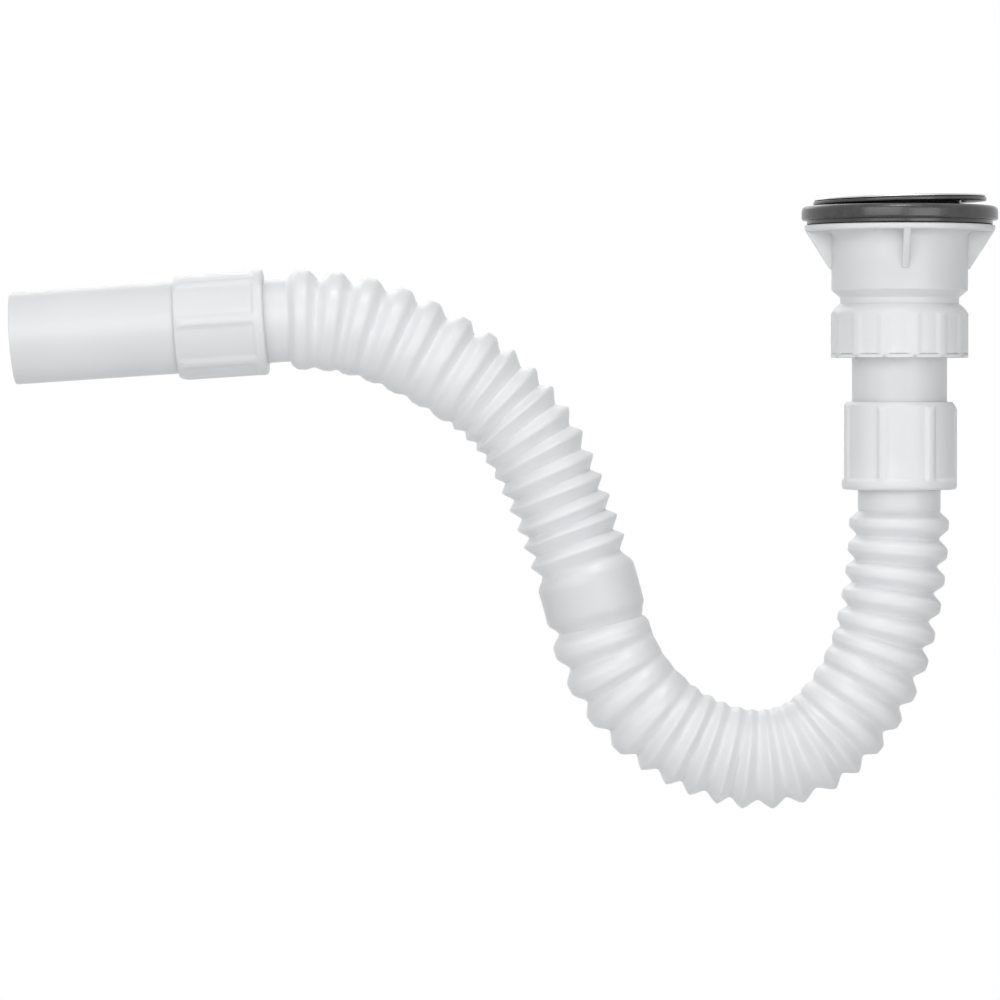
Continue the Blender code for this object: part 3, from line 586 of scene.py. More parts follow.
@dataclass
class SinkClamp:
    """The two gaskets, the pressed strainer and its slotted screw."""

    tilt: float = math.radians(1.5)
    lower_radius: float = 0.04258
    lower_step_radius: float = 0.0403
    lower_rim: float = 0.0062
    lower_top: float = -0.00015
    lower_bottom: float = -0.00815
    hole_radius: float = 0.0292
    upper_radius: float = 0.0376
    upper_bottom: float = 0.00015
    upper_top: float = 0.00175
    plate_radius: float = 0.0372
    plate_seat: float = 0.00205
    sheet: float = 0.0008
    dish_depth: float = 0.0062
    floor_radius: float = 0.0245
    drain_radius: float = 0.0028
    drain_rows: tuple[tuple[int, float], ...] = ((6, 0.0125), (12, 0.0203))
    screw_radius: float = 0.0030
    head_radius: float = 0.0055
    head_height: float = 0.0030
    screw_length: float = 0.0330
    slot_width: float = 0.0014
    slot_depth: float = 0.0013
    slot_turn: float = math.radians(28.0)
    steps: int = 144

    def lift(self) -> float:
        """Return how far the tilt raises the middle of the strainer."""
        return self.upper_radius * math.sin(self.tilt)

    def askew(self) -> Stand:
        """Return the small tilt that the strainer and its gasket stand at."""
        return Stand((0.0, 0.0, self.lift()), -self.tilt)

    def build(self) -> None:
        """Build the four pieces."""
        self.lower_gasket()
        self.upper_gasket()
        self.strainer()
        self.screw()

    def lower_gasket(self) -> None:
        """Build the thick rounded ring under the sink, with a groove in its upper face."""
        hole, low, top = self.hole_radius, self.lower_bottom, self.lower_top
        shoulder = top - self.lower_rim
        corners: Corners = [
            (hole, low, 0.4), (self.lower_step_radius, low, 0.4),
            (self.lower_step_radius, shoulder, 0.3), (self.lower_radius, shoulder, 2.3),
            (self.lower_radius, top, 2.8), (hole + 2.6 * MM, top, 0.2),
            (hole + 2.2 * MM, top - 0.35 * MM, 0.2), (hole + 1.4 * MM, top - 0.35 * MM, 0.2),
            (hole + 1.0 * MM, top, 0.2), (hole, top, 0.4),
        ]
        make_piece("sink_seal_lower", [lathe(rounded(corners, 8), self.steps)], BLACK_RUBBER,
                   "lower_gasket", "waste")

    def upper_gasket(self) -> None:
        """Build the thinner ring above the sink."""
        corners: Corners = [
            (self.hole_radius, self.upper_bottom, 0.3),
            (self.upper_radius - 0.1 * MM, self.upper_bottom, 0.5),
            (self.upper_radius, self.upper_top, 0.6),
            (self.hole_radius, self.upper_top, 0.3),
        ]
        make_piece("sink_seal_upper", [lathe(rounded(corners), self.steps)], BLACK_RUBBER,
                   "upper_gasket", "strainer", stand=self.askew())

    def strainer(self) -> None:
        """Build the pressed dish: a thin rim on the gasket and a floor with drain holes."""
        sheet = self.sheet
        top = self.plate_seat + sheet
        floor = top - self.dish_depth
        edge = self.hole_radius - 2.0 * sheet
        bore = self.screw_radius + 0.5 * MM
        seat = self.head_radius + 0.5 * MM
        corners: Corners = [
            (bore, floor - self.head_height, 0.0), (seat, floor, 0.7),
            (self.floor_radius, floor, 1.6), (edge, top, 1.4),
            (self.plate_radius - 0.3 * MM, top - 0.05 * MM, 0.5),
            (self.plate_radius, self.plate_seat, 0.25),
            (edge - 0.3 * sheet, self.plate_seat, 0.9),
            (self.floor_radius - 0.3 * sheet, floor - sheet, 1.1),
            (seat + 0.6 * sheet, floor - sheet, 0.4),
            (bore + sheet, floor - self.head_height - sheet, 0.2),
            (bore, floor - self.head_height - sheet, 0.0),
        ]
        holes, bevels = [], []
        for count, row_radius in self.drain_rows:
            for index in range(count):
                angle = FULL_TURN * index / count
                place = (row_radius * math.cos(angle), row_radius * math.sin(angle))
                holes.append(plug(self.drain_radius, self.drain_radius, floor - 4.0 * sheet,
                                  floor + 0.2 * sheet, place))
                bevels.append(plug(self.drain_radius - 0.1 * MM, self.drain_radius + 0.5 * MM,
                                   floor - 0.2 * MM, floor + 0.4 * MM, place))
        plate = carve(lathe(rounded(corners), self.steps), join(holes))
        plate = carve(plate, join(bevels))
        make_piece("strainer_dish", [plate], STEEL, "strainer_plate", "strainer", 30.0,
                   self.askew())

    def screw(self) -> None:
        """Build the slotted screw: a domed countersunk head and a rolled thread."""
        top = self.lift() + self.plate_seat + self.sheet - self.dish_depth + 0.3 * MM
        tip = top - self.screw_length
        core = self.screw_radius - 0.45 * MM
        corners: Corners = [
            (0.0, tip, 0.0), (core - 0.8 * MM, tip, 0.3), (core, tip + 1.0 * MM, 0.4),
            (core, top - self.head_height, 0.2), (self.head_radius, top - 0.35 * MM, 0.25),
            (self.head_radius - 0.4 * MM, top - 0.08 * MM, 0.4), (0.0, top, 0.0),
        ]
        cutter = bmesh.new()
        size = (3.0 * self.head_radius, self.slot_width, 2.0 * self.slot_depth, 1.0)
        place = Matrix.Translation((0.0, 0.0, top)) @ Matrix.Rotation(self.slot_turn, 4, "Z")
        bmesh.ops.create_cube(cutter, size=1.0, matrix=place @ Matrix.Diagonal(size))
        body = carve(lathe(rounded(corners), 48), cutter)
        ridge = thread(core - THREAD_SINK, self.screw_radius, tip + 0.6 * MM,
                       top - self.head_height - 0.6 * MM, 1.0 * MM)
        make_piece("clamp_screw", [body, ridge], STEEL, "strainer_screw", "screw", 30.0)


@dataclass
class WasteBody:
    """The moulded waste: flange, gusseted cup, spider with its boss, neck and thread."""

    flange_top: float = -0.00845
    flange_radius: float = 0.0413
    flange_thickness: float = 0.0026
    cup_radius: float = 0.0296
    cup_wall: float = 0.0022
    cup_bottom: float = -0.0366
    chamfer: float = 0.0032
    neck_radius: float = 0.0258
    neck_bottom: float = -0.0425
    spider_rise: float = 0.0024
    bottom: float = -0.05535
    thread_radius: float = 0.0239
    thread_height: float = 0.0011
    bore: float = 0.0208
    gusset_thickness: float = 0.0030
    gusset_height: float = 0.0166
    arm_thickness: float = 0.0025
    arm_height: float = 0.0070
    boss_radius: float = 0.0075
    insert_radius: float = 0.0051
    insert_top: float = -0.0262
    insert_bottom: float = -0.0342
    screw_bore: float = 0.0033
    steps: int = 144

    def build(self) -> None:
        """Build the body and dress the brass insert."""
        parts = [self.shell(), self.hub()]
        parts += [self.gusset(0.25 * FULL_TURN * index) for index in range(4)]
        parts += [self.arm(0.25 * FULL_TURN * (index + 0.5)) for index in range(4)]
        core = self.thread_radius - self.thread_height
        parts.append(thread(core - THREAD_SINK, self.thread_radius, self.bottom + 0.2 * MM,
                            self.neck_bottom - 0.6 * MM))
        make_piece("waste_moulding", parts, WHITE, "waste_body", "waste", 40.0)
        BRASS.dress_node("screw_insert")

    def shell(self) -> Mesh:
        """Return the turned body."""
        top, cup, neck, rim = self.flange_top, self.cup_radius, self.neck_radius, self.flange_radius
        under = top - self.flange_thickness
        low = self.cup_bottom - self.chamfer
        inner = cup - self.cup_wall
        core = self.thread_radius - self.thread_height
        corners: Corners = [
            (inner, top, 0.5), (inner, self.cup_bottom + self.chamfer, 1.5),
            (self.bore, low - self.cup_wall, 1.0), (self.bore, self.bottom, 0.3),
            (core, self.bottom, 0.3), (core, self.neck_bottom, 0.25),
            (neck, self.neck_bottom, 0.1), (neck, low, 1.2), (cup, self.cup_bottom, 1.2),
            (cup, under, 2.8), (rim, under, 1.1), (rim, top, 0.6),
        ]
        return lathe(rounded(corners, 5), self.steps)

    def gusset(self, turn: float) -> Mesh:
        """Return one tapered web between the flange and the cup."""
        inner = self.cup_radius - 0.5 * self.cup_wall
        outer = self.flange_radius - 0.4 * MM
        shoulder = self.flange_top - self.flange_thickness
        high = shoulder + 0.5 * self.flange_thickness
        low = shoulder - self.gusset_height
        outline = ((inner, high), (outer, high), (outer, shoulder),
                   (self.cup_radius + 0.6 * MM, low), (inner, low))
        half = 0.5 * self.gusset_thickness
        bm = bmesh.new()
        face = bm.faces.new([bm.verts.new((radius, -half, height)) for radius, height in outline])
        grown = bmesh.ops.extrude_face_region(bm, geom=[face])
        moved = [item for item in grown["geom"] if isinstance(item, bmesh.types.BMVert)]
        bmesh.ops.translate(bm, vec=(0.0, self.gusset_thickness, 0.0), verts=moved)
        face_outwards(bm)
        soften(bm, 0.45 * MM)
        bmesh.ops.rotate(bm, cent=(0.0, 0.0, 0.0), matrix=Matrix.Rotation(turn, 3, "Z"),
                         verts=bm.verts)
        return bm

    def arm(self, turn: float) -> Mesh:
        """Return one arm of the spider that holds the boss."""
        start = 0.75 * self.boss_radius
        end = self.cup_radius - 0.5 * self.cup_wall
        low = self.cup_bottom + self.spider_rise
        centre = Matrix.Translation((0.5 * (start + end), 0.0, low + 0.5 * self.arm_height))
        size = Matrix.Diagonal((end - start, self.arm_thickness, self.arm_height, 1.0))
        bm = bmesh.new()
        bmesh.ops.create_cube(bm, size=1.0, matrix=Matrix.Rotation(turn, 4, "Z") @ centre @ size)
        soften(bm, 0.5 * MM)
        return bm

    def hub(self) -> Mesh:
        """Return the boss that holds the brass insert."""
        seat = self.insert_bottom - 0.3 * MM
        low = seat - 2.1 * MM
        high = self.insert_top + 0.3 * MM
        corners: Corners = [
            (self.screw_bore, low, 0.2), (self.boss_radius, low, 1.0),
            (self.boss_radius, high, 0.5), (self.insert_radius, high, 0.3),
            (self.insert_radius, seat, 0.0), (self.screw_bore, seat, 0.0),
        ]
        return lathe(rounded(corners), 64)


# Nuts


@dataclass
class RibbedNut:
    """A nut with narrow raised ribs. Heights start at its lip's outer face.

    lip_corner and mouth_fillet are fillets, in millimetres.
    """

    name: str
    node: str
    body: str
    stand: Stand
    radius: float
    length: float
    lip: float
    throat: float
    bore: float
    rib_height: float
    facing: float
    rib_count: int = 7
    rib_crest: float = math.radians(2.4)
    rib_foot: float = math.radians(6.8)
    panel_start: float = 0.0036
    panel_slope: float = 0.0018
    lip_corner: float = 2.2
    mouth_width: float = 0.0021
    mouth_length: float = 0.0034
    crown: float = 0.0
    mouth_fillet: float = 0.35
    thread_height: float = 0.0010
    thread_root: float = 0.0002
    seal_chamber: float = 0.0180
    steps_per_rib: int = 36

    def outline(self) -> Outline:
        """Return the nut's section, with rings close together where the ribs fade out."""
        low, mouth = self.panel_start, self.length - self.mouth_length
        panel = low + self.panel_slope
        heights = [low + share * self.panel_slope for share in (0.0, 0.25, 0.5, 0.75, 1.0)]
        heights += [panel + share * (mouth - panel) for share in (0.33, 0.67)]
        heights.append(mouth - 0.6 * MM)
        corners: Corners = [(self.throat, 0.0, 0.3), (self.radius, 0.0, self.lip_corner)]
        corners += [(self.radius, height, 0.0) for height in heights]
        last = 12
        for step in range(last + 1):
            share = step / last
            ease = (1.0 - self.crown) * share + self.crown * share * share
            fillet = self.mouth_fillet if step == last else 0.0
            corners.append((self.radius - self.mouth_width * ease,
                            mouth + share * self.mouth_length, fillet))
        corners += [(self.bore, self.length, 0.3), (self.bore, self.lip, 0.2),
                    (self.throat, self.lip, 0.2)]
        return rounded(corners, 6)

    def skin_radius(self, angle: float, height: float) -> float:
        """Return how far the outside may reach at an angle and a height."""
        cell = FULL_TURN / self.rib_count
        offset = abs((angle - self.facing + 0.5 * cell) % cell - 0.5 * cell)
        away = self.ease((offset - self.rib_crest) / (self.rib_foot - self.rib_crest))
        inside = self.ease((height - self.panel_start) / self.panel_slope)
        return self.radius - self.rib_height * away * inside

    @staticmethod
    def ease(share: float) -> float:
        """Return a share clipped to 0..1 and eased at both ends."""
        share = min(1.0, max(0.0, share))
        return share * share * (3.0 - 2.0 * share)

    def build(self) -> None:
        """Build the nut, with a thread in its bore where it has one."""
        shell = lathe(self.outline(), self.steps_per_rib * self.rib_count)
        for vert in shell.verts:
            flat = math.hypot(vert.co.x, vert.co.y)
            limit = self.skin_radius(math.atan2(vert.co.y, vert.co.x), vert.co.z)
            if flat > limit:
                vert.co.x *= limit / flat
                vert.co.y *= limit / flat
        parts = [shell]
        if self.thread_height > 0.0:
            parts.append(thread(self.bore + self.thread_root, self.bore - self.thread_height,
                                self.lip + self.seal_chamber, self.length - 1.0 * MM))
        make_piece(self.name, parts, SLEEVE_WHITE, self.node, self.body, 42.0, self.stand)


@dataclass
class TailTube:
    """The flanged tube between the waste and the upper clamp nut."""

    top: float = -0.05815
    flange_thickness: float = 0.0024
    flange_radius: float = 0.0239
    radius: float = 0.02065
    bore: float = 0.0183
    thread_radius: float = 0.0220
    thread_top: float = -0.0887
    bottom: float = -0.1117
    steps: int = 128

    def build(self) -> None:
        """Build the tube in place, and dress the washer above it."""
        under = self.top - self.flange_thickness
        core = self.radius + 0.1 * MM
        corners: Corners = [
            (self.bore, self.bottom, 0.3), (core, self.bottom, 0.4),
            (core, self.thread_top, 0.0), (self.radius, self.thread_top + 0.5 * MM, 0.0),
            (self.radius, 0.5 * (self.thread_top + under), 0.0), (self.radius, under, 0.6),
            (self.flange_radius, under, 0.4), (self.flange_radius, self.top, 0.4),
            (self.bore, self.top, 0.4),
        ]
        ridge = thread(core - THREAD_SINK, self.thread_radius, self.bottom + 0.3 * MM,
                       self.thread_top)
        make_piece("tail_pipe", [lathe(rounded(corners), self.steps), ridge], WHITE, "tail_tube",
                   "tail", 40.0)
        GREY_RUBBER.dress_node("tail_washer")


# Bellows pipe


@dataclass(frozen=True)
class Run:
    """One run of the pipe: its folds, their pitch, its bend, the crests' land and lean.

    The last field is the share of the folds' depth that is left inside the bend.
    """

    folds: int
    pitch: float
    bend_deg: float
    land: float = 0.0
    lean: float = 0.5
    sharp: float = 0.45
    inside: float = 1.0

    def length(self) -> float:
        """Return the run's length along the pipe."""
        return max(self.folds, 1) * self.pitch

    def curvature(self) -> float:
        """Return how fast the run turns, in radians for each metre."""
        return math.radians(self.bend_deg) / self.length()


@dataclass
class Route:
    """The pipe's centre line: arcs in the XZ plane, one for each run."""

    start: Vector
    runs: tuple[Run, ...]
    ends: list[tuple[float, Vector, float]] = field(default_factory=list)

    def __post_init__(self) -> None:
        """Walk the runs and keep where each one starts."""
        centre, heading, travelled = self.start.copy(), 0.0, 0.0
        self.ends = [(travelled, centre.copy(), heading)]
        for run in self.runs:
            centre, heading = self.along(centre, heading, run.length(), run.curvature())
            travelled += run.length()
            self.ends.append((travelled, centre.copy(), heading))

    @staticmethod
    def direction(heading: float) -> Vector:
        """Return the way the pipe runs: 0 is down, a quarter turn points to -X."""
        return Vector((-math.sin(heading), 0.0, -math.cos(heading)))

    @staticmethod
    def along(centre: Vector, heading: float, length: float,
              curvature: float) -> tuple[Vector, float]:
        """Move a length along an arc and return the new place and heading."""
        half = 0.5 * curvature * length
        chord = length if abs(half) < 1e-9 else length * math.sin(half) / half
        return centre + Route.direction(heading + half) * chord, heading + 2.0 * half

    def bend_at(self, travelled: float) -> tuple[float, float]:
        """Return the curvature there and the depth lost inside it, eased between the runs."""
        reach = 0.004
        samples = 5
        curvature = lost = 0.0
        for index in range(samples):
            spot = travelled + reach * (2.0 * index / (samples - 1) - 1.0)
            for run, (begin, _, _), (end, _, _) in zip(self.runs, self.ends, self.ends[1:]):
                if begin <= spot < end:
                    curvature += run.curvature() / samples
                    lost += (1.0 - run.inside) / samples
        return curvature, lost

    def at(self, travelled: float) -> tuple[Vector, float]:
        """Return the centre and heading at a distance; the ends run on straight."""
        if travelled <= 0.0:
            return self.start + self.direction(0.0) * travelled, 0.0
        for run, (begin, centre, heading), (end, _, _) in zip(self.runs, self.ends, self.ends[1:]):
            if travelled <= end:
                return self.along(centre, heading, travelled - begin, run.curvature())
        end, centre, heading = self.ends[-1]
        return centre + self.direction(heading) * (travelled - end), heading


@dataclass
class BellowsPipe:
    """The blown pipe: necks, folds in six groups and a plain cuff, bent along its route."""

    route: Route
    neck_radius: float = 0.0180
    crest_radius: float = 0.02168
    valley_radius: float = 0.0176
    wall: float = 0.0011
    upper_insertion: float = 0.0315
    outlet_insertion: float = 0.0311
    collapse_start: float = 0.45
    collapse_least: float = 0.25
    steps: int = 96
    outer_samples: int = 14
    inner_samples: int = 6
    split_after: int = 4
    cuff: int = 6
    knee: int = 8
    cuff_fade: float = 0.006
    neck_shade: float = 1.4
    fault_shift: float = 0.055
    fault_pitch: float = 0.012
    fault_lean: float = 0.035
    fault_fade: float = 0.010
    seed: int = 41

    def fold_radius(self, run: Run, share: float) -> float:
        """Return the outer radius at a share of the pitch."""
        if run.folds == 0:
            return self.neck_radius
        half_land = 0.5 * run.land / run.pitch
        if share < run.lean - half_land:
            rise = share / (run.lean - half_land)
        elif share > run.lean + half_land:
            rise = (1.0 - share) / (1.0 - run.lean - half_land)
        else:
            rise = 1.0
        eased = 0.5 - 0.5 * math.cos(math.pi * rise)
        height = run.sharp * rise + (1.0 - run.sharp) * eased
        return self.valley_radius + height * (self.crest_radius - self.valley_radius)

    def section(self, first: int, last: int) -> Outline:
        """Return the wall section from a first to a last run, straight, down the Z axis."""
        runs, end = self.route.runs, self.route.ends[last + 1][0]
        outline: Outline = []
        for samples, wall in ((self.outer_samples, 0.0), (self.inner_samples, self.wall)):
            chain = [(-self.upper_insertion, self.neck_radius)] if first == 0 else []
            for number in range(first, last + 1):
                run, begin = runs[number], self.route.ends[number][0]
                for step in range(max(run.folds, 1) * samples):
                    share = step % samples / samples
                    chain.append((begin + (step // samples + share) * run.pitch,
                                  self.fold_radius(run, share)))
            if last == len(runs) - 1:
                chain += [(end, self.neck_radius), (end + self.outlet_insertion, self.neck_radius)]
            else:
                chain.append((end, self.valley_radius))
            skin = [(radius - wall, -distance) for distance, radius in chain]
            outline += reversed(skin) if wall else skin
        return outline

    def wobble(self) -> list[tuple[float, Vector]]:
        """Return each fold's small faults: its distance, and its shift and lean in X and Y."""
        chance = random.Random(self.seed)
        faults = []
        for run, (begin, _, _) in zip(self.route.runs, self.route.ends):
            spread = self.fault_shift * min(run.pitch, self.fault_pitch)
            for fold in range(run.folds):
                shift = chance.uniform(-spread, spread)
                lean = chance.uniform(0.0, self.fault_lean)
                way = chance.uniform(-math.pi, math.pi)
                faults.append((begin + (fold + 0.5) * run.pitch,
                               Vector((shift, lean * math.cos(way), lean * math.sin(way)))))
        return faults

    def fault_at(self, distance: float, faults: list[tuple[float, Vector]]) -> Vector:
        """Return the shift and lean there, eased from fold to fold."""
        for (before, first), (after, second) in zip(faults, faults[1:]):
            if before <= distance <= after:
                inset = min(distance - faults[0][0], faults[-1][0] - distance)
                fault = first.lerp(second, (distance - before) / (after - before))
                return fault * min(1.0, inset / self.fault_fade)
        return Vector((0.0, 0.0, 0.0))

    def fold_depth(self, curvature: float, lost: float, across: float) -> float:
        """Return the share of a fold's depth that is left at a cosine across the bend."""
        room = 1.0 - curvature * self.crest_radius * across
        depth = (room - self.collapse_start) / (1.0 - self.collapse_start)
        depth = min(1.0, max(self.collapse_least, depth))
        return depth * (1.0 - lost * max(0.0, math.copysign(across, curvature * across)))

    def bend(self, bm: Mesh) -> None:
        """Bend a straight piece onto the route and close its folds on the inner side."""
        faults = self.wobble()
        known: dict[float, tuple[float, float, Vector]] = {}
        shade = bm.verts.layers.float.new("fold")
        travel = bm.verts.layers.float.new("travel")
        span = self.crest_radius - self.valley_radius
        starts = [begin for begin, _, _ in self.route.ends]
        cuff_start, cuff_end = starts[self.cuff], starts[self.cuff + 1]
        for vert in bm.verts:
            distance = -vert.co.z
            flat = math.hypot(vert.co.x, vert.co.y)
            angle = math.atan2(vert.co.y, vert.co.x)
            across, aside = math.cos(angle), math.sin(angle)
            key = round(distance, 7)
            if key not in known:
                known[key] = (*self.route.bend_at(distance), self.fault_at(distance, faults))
            curvature, lost, (shift, lean_x, lean_y) = known[key]
            outer = flat if flat > self.valley_radius - 0.3 * MM else flat + self.wall
            in_folds = starts[1] < distance < starts[-2]
            vert[travel] = distance
            if cuff_start < distance < cuff_end:
                inset = min(distance - cuff_start, cuff_end - distance)
                vert[shade] = 1.0 + min(1.0, inset / self.cuff_fade)
            elif in_folds:
                vert[shade] = min(1.0, max(0.0, (outer - self.valley_radius) / span))
            else:
                vert[shade] = self.neck_shade
            if in_folds:
                depth = self.fold_depth(curvature, lost, across)
                flat += (1.0 - depth) * (self.crest_radius - outer)
            moved = distance + shift + flat * (lean_x * across + lean_y * aside)
            centre, heading = self.route.at(moved)
            inward = Vector((-math.cos(heading), 0.0, math.sin(heading)))
            vert.co = centre + inward * (flat * across) + Vector((0.0, flat * aside, 0.0))

    def half(self, name: str, first: int, last: int) -> bpy.types.Object:
        """Return one of the pipe's two halves, bent along the route."""
        bm = lathe(self.section(first, last), self.steps)
        self.bend(bm)
        return make_piece(name, [bm], PIPE, "bellows_pipe", None, 60.0)

    def build(self) -> None:
        """Build the leg and the arm, and bake each one's placing into its mesh."""
        leg = self.half("bellows_leg", 0, self.split_after - 1)
        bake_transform(leg)
        arm = self.half("bellows_arm", self.split_after, len(self.route.runs) - 1)
        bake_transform(arm)


# Outlet


@dataclass
class OutletSpigot:
    """The plain tube for the drain. Heights start at the outlet nut's lip."""

    stand: Stand
    bore: float = 0.0183
    radius: float = 0.0200
    thread_radius: float = 0.0209
    tube_start: float = 0.0111
    thread_length: float = 0.0230
    end: float = 0.11008
    steps: int = 128

    def build(self) -> None:
        """Build the spigot in place."""
        thread_end = self.tube_start + self.thread_length
        core = self.radius + 0.05 * MM
        corners: Corners = [
            (self.bore, self.tube_start, 0.3), (core, self.tube_start, 0.3),
            (core, thread_end, 0.0), (self.radius, thread_end + 0.4 * MM, 0.0),
            (self.radius, 0.33 * self.end + 0.67 * thread_end, 0.0),
            (self.radius, 0.67 * self.end + 0.33 * thread_end, 0.0),
            (self.radius, self.end, 0.6), (self.bore + 0.25 * MM, self.end, 0.3),
            (self.bore, self.end - 6.0 * MM, 0.0),
        ]
        ridge = thread(core - THREAD_SINK, self.thread_radius, self.tube_start + 0.3 * MM,
                       thread_end)
        make_piece("drain_spigot", [lathe(rounded(corners), self.steps), ridge], WHITE,
                   "outlet_spigot", "outlet", 40.0, self.stand)


@dataclass
class SinkTrap:
    """The whole trap: its route, its nuts and the order that they are built in."""

    upper_nut_bottom: float = -0.1232
    union_bottom: float = -0.06385
    runs: tuple[Run, ...] = (
        Run(0, 0.00935, 0.0),
        Run(5, 0.01117, 14.0, 0.0030),
        Run(4, 0.01117, 29.4, 0.0030, inside=0.6),
        Run(5, 0.00926, 58.3, inside=0.6),
        Run(4, 0.00926, 25.7, inside=0.6),
        Run(4, 0.01283, 40.1, 0.0036, inside=0.15),
        Run(1, 0.02780, -5.7, 0.0165),
        Run(5, 0.00918, -5.6, 0.0, 0.6, 0.7),
        Run(5, 0.00918, -31.4, 0.0, 0.6, 0.7),
        Run(3, 0.01270, -10.1, 0.0036, inside=0.4),
        Run(4, 0.01270, -28.5, 0.0036, inside=0.45),
        Run(0, 0.00960, 0.0),
    )

    def build(self) -> None:
        """Build every piece and dress what stays of the frame."""
        SinkClamp().build()
        WasteBody().build()
        TailTube().build()
        self.union_nut().build()
        self.upper_nut().build()
        route = Route(Vector((0.0, 0.0, self.upper_nut_bottom)), self.runs)
        BellowsPipe(route).build()
        _, place, heading = route.ends[-1]
        stand = Stand(tuple(place), heading - math.pi)
        OutletSpigot(stand).build()
        self.outlet_nut(stand).build()
        for side in Side:
            WHITE.dress_node(f"{side.value}_clamp_ring")
            GREY_RUBBER.dress_node(f"{side.value}_clamp_seal")

    def union_nut(self) -> RibbedNut:
        """Return the nut that draws the tail tube up to the waste."""
        return RibbedNut("union_ring_nut", "union_nut", "union",
                         Stand((0.0, 0.0, self.union_bottom)), radius=0.0298, length=0.02135,
                         lip=0.0030, throat=0.02095, bore=0.0242, rib_height=0.00045,
                         facing=math.radians(-107.7), rib_count=14, rib_crest=math.radians(1.8),
                         panel_start=-0.0020, panel_slope=0.0012, lip_corner=3.4,
                         mouth_width=0.0040, mouth_length=0.0046, crown=0.55,
                         mouth_fillet=0.1, steps_per_rib=18, thread_height=0.0)

    def upper_nut(self) -> RibbedNut:
        """Return the clamp nut on the tail tube."""
        return RibbedNut("upper_ribbed_nut", "upper_clamp_nut", "upper_nut",
                         Stand((0.0, 0.0, self.upper_nut_bottom)), radius=0.0250, length=0.0381,
                         lip=0.0030, throat=0.0183, bore=0.0223, rib_height=0.0010,
                         facing=math.radians(-112.1), crown=0.4)

    def outlet_nut(self, stand: Stand) -> RibbedNut:
        """Return the clamp nut on the spigot."""
        return RibbedNut("outlet_ribbed_nut", "outlet_clamp_nut", "outlet_nut", stand,
                         radius=0.0231, length=0.0388, lip=0.0026, throat=0.0183, bore=0.0212,
                         rib_height=0.0010, facing=math.radians(-86.0), mouth_width=0.0013,
                         rib_foot=math.radians(8.6), crown=0.4, thread_height=0.0006,
                         thread_root=-0.00035)


# Studio


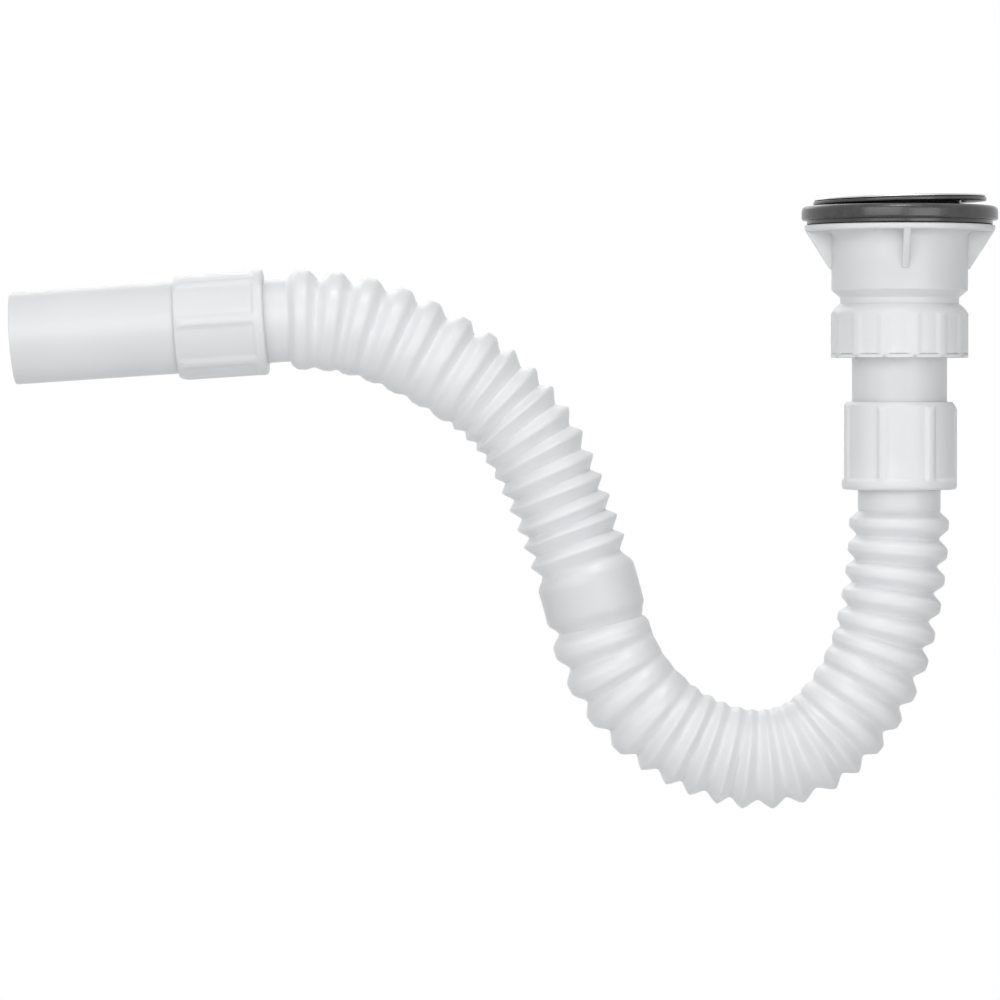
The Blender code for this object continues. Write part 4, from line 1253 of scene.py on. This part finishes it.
@dataclass
class Studio:
    """Camera at the photograph's angle, soft lights, pale floor and a white surround."""

    aim_x: float = -0.1737
    aim_z: float = -0.1278
    camera_height: float = -0.078
    distance: float = 2.1
    sensor: float = 36.0
    width_seen: float = 0.435
    clip_end: float = 50.0
    floor_height: float = -0.60
    floor_radius: float = 2.4
    floor_fade: tuple[float, float] = (0.45, 1.5)
    floor_glow: float = 0.30
    fill_strength: tuple[float, float] = (0.46, 0.18)
    fill_reach: tuple[float, float] = (-0.6, 0.7)

    def build(self) -> None:
        """Build the studio."""
        self.camera()
        self.floor()
        self.world()
        self.lamp("key_softbox", (-0.95, -2.10, 0.60), 1.9, 1.5, 18.5)
        self.lamp("top_softbox", (-0.05, -0.50, 1.15), 0.42, 0.40, 4.4)
        self.lamp("fill_softbox", (0.92, -2.00, 0.00), 1.4, 1.4, 12.0)
        self.lamp("back_softbox", (-0.6, 1.5, 0.9), 1.4, 1.0, 5.0)
        bpy.context.scene.view_settings.view_transform = "Standard"

    def camera(self) -> None:
        """Add the camera. It looks along +Y and a little down, with the photo's frame."""
        data = bpy.data.cameras.new("photo_camera")
        data.sensor_width = self.sensor
        data.lens = self.sensor * self.distance / self.width_seen
        data.clip_end = self.clip_end
        camera = add_object("photo_camera", data)
        camera.location = (self.aim_x, -self.distance, self.camera_height)
        dip = math.atan2(self.aim_z - self.camera_height, self.distance)
        camera.rotation_euler = (0.5 * math.pi + dip, 0.0, 0.0)
        bpy.context.scene.camera = camera

    def lamp(self, name: str, place: Triple, width: float, height: float, power: float) -> None:
        """Add a soft area lamp that faces the trap.

        Args:
            name: The lamp's name.
            place: Where it stands.
            width: Its width.
            height: Its height.
            power: Its power in watts.
        """
        data = bpy.data.lights.new(name, "AREA")
        data.shape = "RECTANGLE"
        data.size, data.size_y, data.energy = width, height, power
        lamp = add_object(name, data)
        lamp.location = place
        aim = Vector((self.aim_x, 0.0, self.aim_z)) - Vector(place)
        lamp.rotation_euler = aim.to_track_quat("-Z", "Y").to_euler()

    def world(self) -> None:
        """Make it white where it is seen; other rays find a fill that falls off to the right."""
        world = bpy.data.worlds.new("white_surround")
        bpy.context.scene.world = world
        world.use_nodes = True
        world.node_tree.nodes.clear()
        sheet = NodeSheet(world.node_tree, "Generated")
        strength = sheet.level(sheet.add("SeparateXYZ", {0: sheet.place}, "X"),
                               *self.fill_strength, *self.fill_reach)
        fill = sheet.add("Background", {"Color": (0.97, 0.98, 1.0, 1.0), "Strength": strength})
        white = sheet.add("Background", {"Color": (1.0, 1.0, 1.0, 1.0), "Strength": 1.0})
        sheet.surface("ShaderNodeOutputWorld", sheet.mix(sheet.seen(), fill, white))

    def floor(self) -> None:
        """Add a pale round floor that fades into the white surround at its rim."""
        bm = bmesh.new()
        bmesh.ops.create_circle(bm, cap_ends=True, segments=96, radius=self.floor_radius,
                                matrix=Matrix.Translation((self.aim_x, 0.0, self.floor_height)))
        floor = add_object("pale_floor", bm)
        material = bpy.data.materials.new("pale_floor")
        material.use_nodes = True
        material.node_tree.nodes.clear()
        sheet = NodeSheet(material.node_tree)
        pale = sheet.add("BsdfDiffuse", {"Color": (0.86, 0.86, 0.86, 1.0)})
        glow = sheet.add("Emission", {"Strength": self.floor_glow})
        lit = sheet.add("AddShader", {0: pale, 1: glow})
        white = sheet.add("Emission", {"Strength": 1.0})
        centred = sheet.add("Mapping", {"Location": (-self.aim_x, 0.0, -self.floor_height),
                                        "Vector": sheet.place})
        rim = sheet.mix(sheet.level(sheet.length(centred), 0.0, 1.0, *self.floor_fade), lit, white)
        sheet.surface("ShaderNodeOutputMaterial", sheet.mix(sheet.seen(), pale, rim))
        floor.data.materials.append(material)


def main() -> None:
    """Build the studio and the trap."""
    logging.basicConfig(level=logging.INFO, format="%(name)s %(message)s")
    Studio().build()
    SinkTrap().build()
    bpy.context.view_layer.update()


if __name__ == "__main__":
    main()
